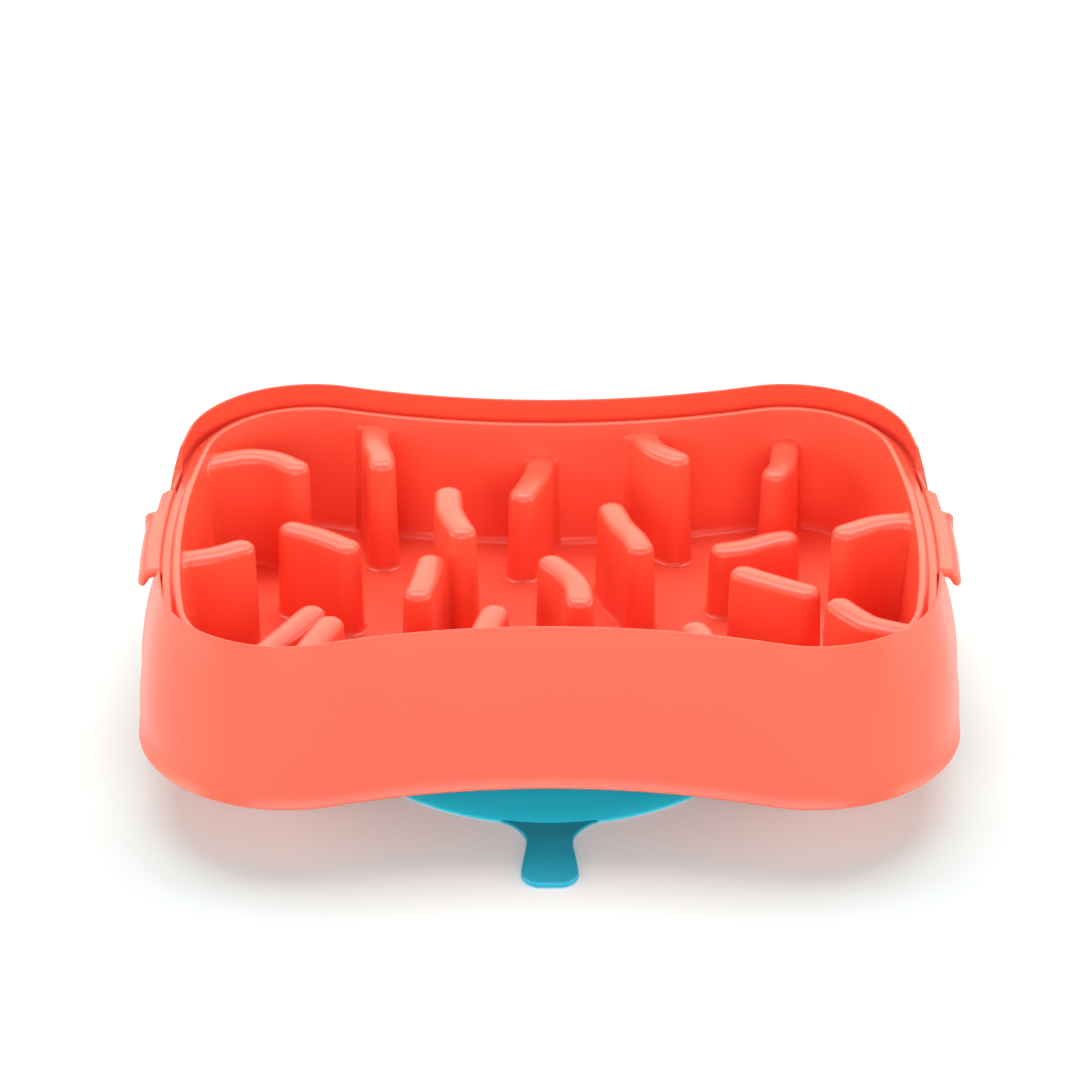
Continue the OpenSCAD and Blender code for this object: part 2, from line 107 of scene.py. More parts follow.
# The grip tab from its middle to its rear, in shares of half its width: where the hem ends,
# and where the plate gets narrow, each with the length of the change; then the narrow reach
HEM_END, PLATE_NARROWS, NARROW_REACH = (0.34, 0.09), (0.4, 0.12), 0.44

# The grip tab's corners: their share of its width, the reach left at their ends, how far its
# two ends are rounded, and how much lower the hem's front corner hangs
CORNER, CORNER_REACH, END_ROUND, FRONT_DROP = 0.05, 0.82, 0.0011, 0.0012

# Small edges of the moulded and turned parts
CHAMFER, LEDGE_EDGE, FILLET, BEVEL = 0.0003, 0.0004, 0.0006, 0.0009

# How far the grip tab's root reaches into the ledge, how far below the tab's top its plate
# ends where it has no hem, and the fine steps at the tab's two ends
TAB_ROOT, PLATE_END, END_STEPS = 0.0012, 0.0011, (0.0002, 0.0005)

# The turn from the cup's crown to its slope, to either side of the socket's edge
CROWN_TURN = 0.002

# The pull tab: its flare's radius in flares, its corner's radius as a share of its end, and
# the share of its thickness that is left at its rim
FLARE_ROUND, PULL_CORNER, RIM_LEFT = 1.5, 0.36, 0.4

# How far the points of the pull tab's rounded rim stand in from its edge
RIM_STEPS = (0, 0.00004, 0.00015, 0.00032, 0.00055, 0.0008)

# Moulded finishes: scale of the shifts of colour and gloss, height of the grain
TINT_SCALE, GLOSS_SCALE, GRAIN_HEIGHT = 18.0, 55.0, 0.00005

# Each colour's finish: roughness and its spread, grain scale and strength, and coat
FINISHES = {
    "coral": (0.36, 0.02, 1400.0, 0.08, 0.25),
    "silicone": (0.34, 0.04, 1800.0, 0.12, 0.0),
    "cup": (0.42, 0.04, 1800.0, 0.12, 0.0),
    "plug": (0.5, 0.05, 1200.0, 0.3, 0.0),
}

# Lamps of the studio: place, size across and up, power and tone
LAMPS = {
    "key_over": ((0, 0.5, 1.38), (1.8, 0.7), 18.0, (1, 1, 1)),
    "front_panel": ((0, -1.82, 0.75), (2.2, 0.9), 23.0, (1, 1, 1)),
    "rear_panel": ((0, 1.4, 0.8), (1.8, 0.5), 6.0, (1.0, 0.9, 0.65)),
    "side_left": ((-1.4, -0.1, 0.35), (1.2, 0.6), 10.0, (1.0, 0.9, 0.78)),
    "side_right": ((1.4, -0.1, 0.35), (1.2, 0.6), 10.0, (1.0, 0.9, 0.78)),
}
LAMP_TARGET = (0, 0, 0.05)

# Studio: half the floor's width, its glow as the camera sees it, and the world's strength
# on the object and as the camera, glass and gloss see it
FLOOR_REACH, FLOOR_GLOW = 6.0, 0.1
WORLD_LEVELS = (0.18, 1.0)
CAMERA_PLACE, CAMERA_DOWN, CAMERA_LENS = (-0.003402, -1.1922, 0.72724), 28.755, 125.642

# Ridges of the maze: which height, and the middle line as shares of half the
# rim's length and half its width
RIDGES = (
    ("tall", ((-0.97, 0.55), (-0.87, 0.615), (-0.8, 0.64), (-0.735, 0.615), (-0.68, 0.55))),
    ("tall", ((-0.475, 0.9), (-0.47, 0.74), (-0.455, 0.65), (-0.45, 0.58))),
    ("tall", ((-0.267, 0.332), (-0.262, 0.215), (-0.248, 0.14), (-0.227, 0.05))),
    ("middle", ((-0.02, 0.85), (-0.025, 0.72), (-0.04, 0.62), (-0.07, 0.49))),
    ("tall", ((-0.98, -0.18), (-0.87, -0.133), (-0.796, -0.075))),
    ("middle", ((-0.675, 0.222), (-0.6, 0.165), (-0.53, 0.09))),
    ("middle", ((-0.604, -0.402), (-0.686, -0.61), (-0.8, -0.9))),
    ("tall", ((-0.549, -0.627), (-0.585, -0.77), (-0.63, -0.95))),
    ("middle", ((-0.308, -0.03), (-0.322, -0.155), (-0.336, -0.26))),
    ("middle", ((-0.141, -0.397), (-0.165, -0.54), (-0.2, -0.85))),
    ("middle", ((0.007, -0.034), (0.043, -0.11), (0.07, -0.2), (0.077, -0.31))),
    ("middle", ((0.167, 0.37), (0.191, 0.25), (0.219, 0.165), (0.236, 0.085))),
    ("tall", ((0.238, 0.86), (0.284, 0.705), (0.343, 0.62))),
    ("middle", ((0.65, 0.95), (0.637, 0.75), (0.613, 0.66))),
    ("low", ((0.461, 0.218), (0.517, 0.24), (0.586, 0.292), (0.625, 0.31))),
    ("middle", ((0.503, -0.115), (0.557, -0.165), (0.614, -0.213), (0.655, -0.245))),
    ("tall", ((0.98, 0.14), (0.865, 0.115), (0.797, 0.065), (0.771, 0.042))),
    ("tall", ((0.728, -0.5), (0.765, -0.575), (0.811, -0.638), (0.93, -0.71))),
    ("middle", ((0.366, -0.517), (0.381, -0.58), (0.42, -0.9))),
)


def length(name, default, description):
    """A length property in metres."""
    return FloatProperty(
        name=name, description=description, default=default, unit="LENGTH", precision=4, min=0
    )


def colour(name, default, description):
    """A colour property in linear values."""
    return FloatVectorProperty(
        name=name, description=description, default=default, subtype="COLOR", size=3, min=0, max=1
    )


class FeederSizes(bpy.types.PropertyGroup):
    """Sizes of the bowl, its insert and its cup."""

    rim_length: length("Rim length", 0.28, "Length over the rim, end to end")
    rim_width: length("Rim width", 0.2, "Width over the rim at the bulges")
    waist_width: length("Waist width", 0.1728, "Width over the rim at the waist")
    middle_y: length("Middle", 0.0053, "How far the bowl's middle lies behind the origin")
    bowl_height: length("Bowl height", 0.0592, "Height of the outer bowl, foot to rim")
    foot_z: length("Foot height", 0.0246, "Height of the bowl's foot above the table")
    wall_lean: length("Wall lean", 0.0079, "How far the wall leans out below the rim")
    foot_out: length("Foot reach", 0.0022, "How far the foot stands out beyond the wall")
    foot_upright: length("Upright height", 0.0046, "Height above the foot at which the wall is upright")
    foot_flare: length("Foot flare", 0.0105, "Height of the foot's gentle flare")
    wall_thick: length("Wall thickness", 0.0024, "Thickness of the bowl's wall")
    seat_in: length("Seat bead", 0.0024, "How far the bead under the ledge stands in from the wall")
    rim_thick: length("Rim thickness", 0.0008, "Thickness of the wall at the rim")
    deck_thick: length("Bottom thickness", 0.002, "Thickness of the bowl's bottom")
    gap_width: length("Gap width", 0.094, "Width of the gap in the rim at each end")
    gap_depth: length("Gap depth", 0.009, "Depth of the gap in the rim")
    cheek_thick: length("Cheek thickness", 0.0011, "Thickness of a recess's side wall")
    inset_half: length("Set-in wall", 0.0006, "Half the thickness of the set-in wall")
    recess_from: length("Recess start", 0.024, "Depth at which the recess starts to come back")
    recess_to: length("Recess end", 0.042, "Depth at which the recess has ended")
    recess_foot: length("Foot under a recess", 0.0011, "How far the foot stands out below a recess")
    lip_in: length("Lip inset", 0.0079, "How far the lip's inner edge stands in from the rim")
    lip_depth: length("Lip depth", 0.0069, "Depth of the lip's top")
    lip_width: length("Lip width", 0.0032, "Width of the raised lip")
    ledge_depth: length("Ledge depth", 0.0104, "Depth of the ledge round the lip")
    ledge_in: length("Ledge inset", 0.0013, "How far the ledge's edge stands in from the rim")
    ledge_thick: length("Ledge thickness", 0.002, "Thickness of the ledge")
    insert_thick: length("Insert thickness", 0.002, "Thickness of the insert's wall")
    floor_thick: length("Floor thickness", 0.0019, "Thickness of the insert's floor")
    insert_lean: length("Insert lean", 0.0048, "How far the insert's wall leans in, lip to floor")
    floor_radius: length("Floor fillet", 0.0035, "Radius where the wall meets the floor")
    ridge_width: length("Ridge width", 0.0106, "Width of a ridge at its top")
    ridge_draft: length("Ridge draft", 0.0008, "How far a ridge's foot is wider, on each side")
    ridge_round: length("Ridge rounding", 0.0034, "Height of the rounding on a ridge's top")
    ridge_fillet: length("Ridge fillet", 0.0016, "Fillet at a ridge's foot")
    wall_fillet: length("Wall fillet", 0.0022, "Fillet where a ridge meets the wall")
    tall_depth: length("Tall ridge depth", 0.0108, "Depth of the tall ridges' tops")
    middle_depth: length("Middle ridge depth", 0.0194, "Depth of the middle ridges' tops")
    low_depth: length("Low ridge depth", 0.028, "Depth of the low ridge's top")
    tab_width: length("Grip tab width", 0.061, "Width of a grip tab")
    tab_depth: length("Grip tab depth", 0.0087, "Depth of a grip tab's top")
    tab_out: length("Grip tab reach", 0.0076, "How far a grip tab's hem reaches beyond the rim")
    tab_drop: length("Grip tab drop", 0.0161, "Depth of a grip tab's hem")
    tab_thick: length("Grip tab thickness", 0.0024, "Thickness of a grip tab's hem")
    cup_radius: length("Cup radius", 0.0813, "Radius of the suction cup's lip")
    cup_lip: length("Cup lip", 0.002, "Thickness of the cup behind its edge")
    cup_edge: length("Cup edge", 0.0011, "Thickness of the cup's thin edge")
    seal_width: length("Seal width", 0.006, "Width of the flat ring that seals on the table")
    crown_thick: length("Crown thickness", 0.004, "Thickness of the bell at its crown")
    socket_radius: length("Socket radius", 0.026, "Radius of the socket under the bowl")
    socket_height: length("Socket height", 0.009, "Height of the socket")
    button_radius: length("Button radius", 0.0194, "Radius of the cup's button in the socket")
    neck_radius: length("Neck radius", 0.0168, "Radius of the button's neck")
    neck_height: length("Neck height", 0.0034, "Height of the button's neck")
    plug_radius: length("Plug hole radius", 0.0081, "Radius of the hole for the lock plug")
    plug_length: length("Plug hole depth", 0.0091, "Depth of the hole for the lock plug")
    pull_length: length("Pull tab length", 0.0394, "Length of the pull tab beyond the cup's lip")
    pull_root: length("Pull tab root", 0.034, "Width of the pull tab at its root")
    pull_neck: length("Pull tab neck", 0.0163, "Width of the pull tab at its neck")
    pull_end: length("Pull tab end", 0.02, "Width of the pull tab near its end")
    pull_thick: length("Pull tab thickness", 0.002, "Thickness of the pull tab")
    fit_gap: length("Fit gap", 0.0003, "Gap between soft or moving pieces")
    steps_round: IntProperty(
        name="Steps round", description="Steps round a turned shape", default=160, min=24
    )


class FeederColours(bpy.types.PropertyGroup):
    """Colours of the moulded pieces and of the studio. A surface shifts between a colour and its
    deep tone."""

    coral: colour("Coral", (0.975, 0.124, 0.064), "Moulded bowl and insert")
    coral_deep: colour("Deep coral", (0.975, 0.118, 0.06), "Slightly deeper coral in the moulding")
    silicone: colour("Silicone", (0.008, 0.48, 0.7), "Pull tab")
    silicone_deep: colour("Deep silicone", (0.007, 0.45, 0.66), "Slightly deeper silicone")
    # The cup's colour and its deep tone are painted far lighter than the pull tab's silicone, which is
    # the same silicone. This is painted light for the cup's slope, which lies in shade under the bowl.
    cup: colour("Cup", (0.016, 0.75, 1.0), "Suction cup")
    cup_deep: colour("Deep cup", (0.014, 0.72, 0.98), "Slightly deeper tone of the cup")
    plug: colour("Plug", (0.12, 0.12, 0.13), "Lock plug")
    plug_deep: colour("Deep plug", (0.096, 0.096, 0.104), "Slightly deeper tone of the plug")
    studio: colour("Studio", (0.78, 0.93, 0.94), "Floor of the studio")


# Small helpers


def mix(a, b, share):
    """The value at a share of the way from a to b."""
    return a + (b - a) * share


def eased(share):
    """A share that starts and stops gently, held between 0 and 1."""
    share = np.clip(share, 0.0, 1.0)
    return share * share * (3 - 2 * share)


def smooth_line(points, steps):
    """Points along a rounded line that passes through every given point."""
    p = np.asarray(points, float)
    p = np.vstack([2 * p[0] - p[1], p, 2 * p[-1] - p[-2]])
    out = []
    for i in range(1, len(p) - 2):
        for t in np.arange(steps) / steps:
            a, b, c, d = p[i - 1 : i + 3]
            bend = (2 * a - 5 * b + 4 * c - d) * t * t + (3 * b - a - 3 * c + d) * t**3
            out.append(0.5 * (2 * b + (c - a) * t + bend))
    out.append(p[-2])
    return np.array(out)


def placed(name, data):
    """A new object in the scene."""
    obj = bpy.data.objects.new(name, data)
    bpy.context.scene.collection.objects.link(obj)
    return obj


def fill(node, values):
    """Sets a shader node's sockets to constants."""
    for key, value in values.items():
        node.inputs[key].default_value = value


# The rim's outline in plan, and the sections that stand on it


class Outline:
    """Stations round the rim's outline: arcs at the ends, bulges, shoulders and waist.

    The numbers of corner, shoulder and waist are the stations on each of these arcs."""

    def __init__(self, s, end_ys, corner=22, shoulder=9, waist=12):
        half_l, half_w = s.rim_length / 2, s.rim_width / 2
        bulge_x = s.rim_length * BULGE_SHARE
        corner_r, shoulder_r = s.rim_length * CORNER_SHARE, s.rim_length * SHOULDER_SHARE
        dip = (s.rim_width - s.waist_width) / 2
        run, corner_y = half_l - bulge_x, half_w - corner_r
        self.end_r = (run**2 + corner_y**2 - corner_r**2) / (2 * (run - corner_r))
        self.end_x = half_l - self.end_r
        shoulder_y = half_w - shoulder_r
        waist_r = (bulge_x**2 - 2 * shoulder_r * dip + dip**2) / (2 * dip)
        waist_y = half_w - dip + waist_r
        end_angle = math.atan2(corner_y, bulge_x - self.end_x)
        waist_angle = math.atan2(waist_y - shoulder_y, -bulge_x)
        # A quarter of the outline: x, y, the direction square to it, and 1 where y is held
        rows = []
        for y in end_ys:
            rows.append((self.end_x + math.sqrt(self.end_r**2 - y * y), y, 1, 0, 1))
        top = math.pi / 2
        arcs = (
            (bulge_x, corner_y, corner_r, end_angle, top, range(corner + 1), 1),
            (bulge_x, shoulder_y, shoulder_r, top, waist_angle, range(1, shoulder + 1), 1),
            (0, waist_y, waist_r, waist_angle - math.pi, -top, range(1, waist + 1), -1),
        )
        for x, y, r, start, end, steps, turn in arcs:
            for i in steps:
                a = mix(start, end, i / steps[-1])
                c, d = math.cos(a), math.sin(a)
                rows.append((x + r * c, y + r * d, turn * c, turn * d, 0))
        n = len(rows)
        order = (
            [(i, 1, 1) for i in range(n)]
            + [(i, -1, 1) for i in range(n - 2, -1, -1)]
            + [(i, -1, -1) for i in range(1, n)]
            + [(i, 1, -1) for i in range(n - 2, 0, -1)]
        )
        self.index = np.array([o[0] for o in order])
        signs = np.array([o[1:] for o in order], float)
        rows = np.array(rows)[self.index]
        self.place = rows[:, :2] * signs
        self.square = rows[:, 2:4] * signs
        self.held = rows[:, 4] > 0.5
        self.middle_y = s.middle_y

    def ring(self, out, z):
        """Points at a height over all stations, moved out. At the ends they move along X."""
        out = np.broadcast_to(out, len(self.place))
        p = self.place + self.square * out[:, None]
        y = self.place[:, 1]
        x = self.end_x + np.sqrt((self.end_r + out) ** 2 - y * y)
        p[:, 0] = np.where(self.held, np.sign(self.place[:, 0]) * x, p[:, 0])
        p[:, 1] = np.where(self.held, y, p[:, 1]) + self.middle_y
        return np.column_stack([p, np.broadcast_to(z, len(p))])

    def offset(self, points):
        """How far out from the rim each plan point lies, and the direction square to the rim."""
        moved = points - np.array([0, self.middle_y])
        square = self.square.copy()
        centre = np.sign(self.place[:, :1]) * np.array([[self.end_x, 0]])
        from_centre = self.place - centre
        radial = from_centre / np.linalg.norm(from_centre, axis=1)[:, None]
        square[self.held] = radial[self.held]
        out, direction = [], []
        for block in np.array_split(moved, max(1, len(moved) // 2000)):
            gap = ((block[:, None, :] - self.place[None]) ** 2).sum(2)
            near = gap.argmin(1)
            out.append(((block - self.place[near]) * square[near]).sum(1))
            direction.append(square[near])
        return np.concatenate(out), np.vstack(direction)


def skin(rings, caps=True):
    """Vertices and faces of a closed skin through rings of points, with a fan at each end."""
    m, n = rings.shape[:2]
    verts = rings.reshape(-1, 3).tolist()
    faces = []
    for j in range(m - 1):
        for i in range(n):
            k = (i + 1) % n
            faces.append((j * n + i, j * n + k, (j + 1) * n + k, (j + 1) * n + i))
    if caps:
        for j, turn in ((0, 1), (m - 1, -1)):
            verts.append(rings[j].mean(0).tolist())
            c = len(verts) - 1
            for i in range(n):
                k = (i + 1) % n
                a, b = j * n + i, j * n + k
                faces.append((c, b, a) if turn > 0 else (c, a, b))
    return verts, faces


def solid(name, parts):
    """One object made of closed skins whose faces all point outwards."""
    bm = bmesh.new()
    for verts, faces in parts:
        one = bmesh.new()
        made = [one.verts.new(v) for v in verts]
        for f in faces:
            one.faces.new([made[i] for i in f])
        bmesh.ops.remove_doubles(one, verts=one.verts, dist=MERGE_DISTANCE)
        bmesh.ops.dissolve_degenerate(one, edges=one.edges, dist=MERGE_DISTANCE)
        if one.calc_volume(signed=True) < 0:
            bmesh.ops.reverse_faces(one, faces=one.faces)
        mesh = bpy.data.meshes.new("part")
        one.to_mesh(mesh)
        one.free()
        bm.from_mesh(mesh)
        bpy.data.meshes.remove(mesh)
    for f in bm.faces:
        f.smooth = True
    for e in bm.edges:
        if len(e.link_faces) == 2:
            e.smooth = e.calc_face_angle(0) < SHARP_ANGLE
    mesh = bpy.data.meshes.new(name)
    bm.to_mesh(mesh)
    bm.free()
    return placed(name, mesh)


def mesh_parts(mesh):
    """A mesh as lists of vertices and faces."""
    return [tuple(v.co) for v in mesh.vertices], [tuple(p.vertices) for p in mesh.polygons]


# Geometry Nodes


class Tree:
    """Builds a geometry node tree with named inputs."""

    def __init__(self, name, inputs):
        self.tree = bpy.data.node_groups.new(name, "GeometryNodeTree")
        face = self.tree.interface
        face.new_socket("Geometry", in_out="INPUT", socket_type="NodeSocketGeometry")
        self.ids = {}
        for label, kind in inputs:
            socket = face.new_socket(label, in_out="INPUT", socket_type="NodeSocket" + kind)
            self.ids[label] = socket.identifier
        face.new_socket("Geometry", in_out="OUTPUT", socket_type="NodeSocketGeometry")
        self.given = self.add("NodeGroupInput")
        self.result = self.add("NodeGroupOutput")

    def add(self, kind, values=None, **settings):
        """A new node, with its inputs linked to sockets or set to constants."""
        node = self.tree.nodes.new(kind)
        for key, value in settings.items():
            setattr(node, key, value)
        for key, value in (values or {}).items():
            if isinstance(value, bpy.types.NodeSocket):
                self.tree.links.new(value, node.inputs[key])
            else:
                node.inputs[key].default_value = value
        return node

    def math(self, operation, a, b=0.0):
        """The result of an operation on one or two values."""
        return self.add("ShaderNodeMath", {0: a, 1: b}, operation=operation).outputs[0]

    def dot(self, a, b):
        """The dot product of two vectors."""
        node = self.add("ShaderNodeVectorMath", {0: a, 1: b}, operation="DOT_PRODUCT")
        return node.outputs["Value"]

    def place(self):
        """Each point's own place."""
        return self.add("GeometryNodeInputPosition").outputs[0]

    def vectors(self, name):
        """A named vector of each point."""
        node = self.add("GeometryNodeInputNamedAttribute", {"Name": name}, data_type="FLOAT_VECTOR")
        return node.outputs["Attribute"]

    def combine(self, x, y, z):
        """A vector from three values."""
        return self.add("ShaderNodeCombineXYZ", {"X": x, "Y": y, "Z": z}).outputs[0]

    def sample(self, geometry, value, index):
        """A vector of the point at an index of another geometry."""
        values = {"Geometry": geometry, "Value": value, "Index": index}
        node = self.add("GeometryNodeSampleIndex", values, data_type="FLOAT_VECTOR", domain="POINT")
        return node.outputs["Value"]

    def end(self, geometry, material):
        """Ends the tree: doubles merged, instances made real, material set."""
        merged = self.add("GeometryNodeMergeByDistance", {"Geometry": geometry, "Distance": 2e-7})
        real = self.add("GeometryNodeRealizeInstances", {"Geometry": merged.outputs[0]})
        values = {"Geometry": real.outputs[0], "Material": material}
        self.tree.links.new(self.add("GeometryNodeSetMaterial", values).outputs[0], self.result.inputs[0])
        return self.tree


def grid_cells(tree, across, along):
    """A grid of points with whole-number places: its mesh, the column and the row."""
    values = {"Size X": 1.0, "Size Y": 1.0, "Vertices X": across, "Vertices Y": along}
    grid = tree.add("GeometryNodeMeshGrid", values)
    split = tree.add("ShaderNodeSeparateXYZ", {0: tree.place()})
    cells = []
    for axis, count in (("X", across), ("Y", along)):
        share = tree.math("ADD", split.outputs[axis], 0.5)
        place = tree.math("MULTIPLY", share, tree.math("SUBTRACT", count, 1.0))
        cells.append(tree.math("ROUND", place))
    return grid.outputs["Mesh"], cells[0], cells[1]


def turned_tree():
    """A tree that turns a profile round the upright axis."""
    t = Tree("turned_profile", [("Steps Round", "Int"), ("Middle Y", "Float"), ("Finish", "Material")])
    given = t.given.outputs
    size = t.add("GeometryNodeAttributeDomainSize", {"Geometry": given["Geometry"]})
    steps = t.math("ADD", given["Steps Round"], 1.0)
    mesh, column, row = grid_cells(t, steps, size.outputs["Point Count"])
    point = t.sample(given["Geometry"], t.place(), row)
    radius, _, height = t.add("ShaderNodeSeparateXYZ", {0: point}).outputs
    angle = t.math("MULTIPLY", t.math("DIVIDE", column, given["Steps Round"]), 2 * math.pi)
    x = t.math("MULTIPLY", radius, t.math("COSINE", angle))
    y = t.math("ADD", t.math("MULTIPLY", radius, t.math("SINE", angle)), given["Middle Y"])
    place = t.combine(x, y, height)
    moved = t.add("GeometryNodeSetPosition", {"Geometry": mesh, "Position": place})
    return t.end(moved.outputs[0], given["Finish"]), t.ids


def ridge_tree():
    """A tree that carries a ridge's section round its plan ring."""
    sizes = ("Half Width", "Draft", "Fillet", "Height", "Rounding", "Floor Z")
    inputs = [("Section", "Object"), *((label, "Float") for label in sizes), ("Finish", "Material")]
    t = Tree("moulded_ridge", inputs)
    given = t.given.outputs
    section = t.add("GeometryNodeObjectInfo", {"Object": given["Section"]}).outputs["Geometry"]
    stations = t.add("GeometryNodeAttributeDomainSize", {"Geometry": given["Geometry"]}).outputs[0]
    levels = t.add("GeometryNodeAttributeDomainSize", {"Geometry": section}).outputs[0]
    mesh, column, row = grid_cells(t, t.math("ADD", stations, 1.0), levels)
    station = t.math("MODULO", column, stations)
    centre = t.sample(given["Geometry"], t.place(), station)
    side = t.sample(given["Geometry"], t.vectors("side"), station)
    wide = t.sample(section, t.vectors("wide"), row)
    high = t.sample(section, t.vectors("high"), row)
    widths = t.combine(given["Half Width"], given["Draft"], given["Fillet"])
    heights = t.combine(given["Height"], given["Rounding"], given["Fillet"])
    reach = t.dot(wide, widths)
    rise = t.math("ADD", t.dot(high, heights), given["Floor Z"])
    aside = t.add("ShaderNodeVectorMath", {0: side, "Scale": reach}, operation="SCALE").outputs[0]
    up = t.combine(0.0, 0.0, rise)
    place = t.add("ShaderNodeVectorMath", {0: centre, 1: aside}, operation="ADD").outputs[0]
    place = t.add("ShaderNodeVectorMath", {0: place, 1: up}, operation="ADD").outputs[0]
    moved = t.add("GeometryNodeSetPosition", {"Geometry": mesh, "Position": place})
    return t.end(moved.outputs[0], given["Finish"]), t.ids


def point_object(name, points, attributes=None):
    """A helper object whose mesh is a row of points with named vectors."""
    mesh = bpy.data.meshes.new(name)
    mesh.from_pydata([tuple(p) for p in points], [], [])
    for key, values in (attributes or {}).items():
        layer = mesh.attributes.new(key, "FLOAT_VECTOR", "POINT")
        layer.data.foreach_set("vector", np.asarray(values, np.float32).ravel())
    return placed(name, mesh)


def grown(obj, tree, ids, values):
    """The plain mesh that a node tree makes from an object, which is then removed."""
    grow = obj.modifiers.new("grow", "NODES")
    grow.node_group = tree
    for label, value in values.items():
        grow[ids[label]] = value
    depsgraph = bpy.context.evaluated_depsgraph_get()
    mesh = bpy.data.meshes.new_from_object(obj.evaluated_get(depsgraph))
    old = obj.data
    bpy.data.objects.remove(obj)
    bpy.data.meshes.remove(old)
    if not mesh.polygons:
        raise RuntimeError("The node tree gave no faces")
    return mesh


def turned(profile, s, material):
    """A profile of (radius, height) points turned round the upright axis, as vertices and faces."""
    tree, ids = turned_tree()
    obj = point_object("profile", [(r, 0, z) for r, z in profile])
    values = {"Steps Round": s.steps_round, "Middle Y": s.middle_y, "Finish": material}
    mesh = grown(obj, tree, ids, values)
    parts = mesh_parts(mesh)
    bpy.data.meshes.remove(mesh)
    bpy.data.node_groups.remove(tree)
    return parts


# Materials


def surface(name, kind, c):
    """A moulded finish, made once: slow shifts of colour and gloss, and a fine grain."""
    if name in bpy.data.materials:
        return bpy.data.materials[name]
    roughness, spread, grain_scale, grain_strength, coat = FINISHES[kind]
    mat = bpy.data.materials.new(name)
    mat.use_nodes = True
    nodes, links = mat.node_tree.nodes, mat.node_tree.links
    shader = nodes["Principled BSDF"]
    place = nodes.new("ShaderNodeTexCoord").outputs["Object"]

    def noise(scale, detail):
        """A soft noise on the piece's own coordinates."""
        node = nodes.new("ShaderNodeTexNoise")
        fill(node, {"Scale": scale, "Detail": detail})
        links.new(place, node.inputs["Vector"])
        return node.outputs["Fac"]

    tint = nodes.new("ShaderNodeMix")
    tint.data_type = "RGBA"
    links.new(noise(TINT_SCALE, 2.0), tint.inputs["Factor"])
    fill(tint, {"A": (*getattr(c, kind), 1), "B": (*getattr(c, kind + "_deep"), 1)})
    links.new(tint.outputs["Result"], shader.inputs["Base Color"])
    gloss = nodes.new("ShaderNodeMapRange")
    links.new(noise(GLOSS_SCALE, 3.0), gloss.inputs["Value"])
    fill(gloss, {"From Min": 0.3, "From Max": 0.7})
    fill(gloss, {"To Min": roughness - spread, "To Max": roughness + spread})
    links.new(gloss.outputs["Result"], shader.inputs["Roughness"])
    bump = nodes.new("ShaderNodeBump")
    fill(bump, {"Strength": grain_strength, "Distance": GRAIN_HEIGHT})
    links.new(noise(grain_scale, 2.0), bump.inputs["Height"])
    links.new(bump.outputs["Normal"], shader.inputs["Normal"])
    fill(shader, {"IOR": 1.48, "Coat Weight": coat, "Coat Roughness": 0.22})
    return mat


def dress(obj, material, body, nodes):
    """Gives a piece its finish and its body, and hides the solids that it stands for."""
    obj.data.materials.clear()
    obj.data.materials.append(material)
    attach(obj, body)
    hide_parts(*nodes)


# Sections of the outer bowl


def lean_at(s, d):
    """How far the wall leans out at a depth: an arc that ends upright above the foot."""
    low = s.bowl_height - s.foot_upright
    r = (low * low + s.wall_lean**2) / (2 * s.wall_lean)
    return s.wall_lean - r + np.sqrt(r * r - np.maximum(low - d, 0) ** 2)


def wall_out(s, d, foot):
    """The wall's outer face at a depth, with the foot's gentle flare."""
    low = s.bowl_height - s.foot_flare
    rise = np.clip((d - low) / (s.foot_flare - s.rim_thick), 0, 1)
    return lean_at(s, d) + foot * rise**2.4


def wall_in(s, d):
    """The wall's inner face at a depth. The wall is thinner towards its rim."""
    thick = mix(s.rim_thick, s.wall_thick, np.minimum(d / s.gap_depth, 1))
    return lean_at(s, d) - thick


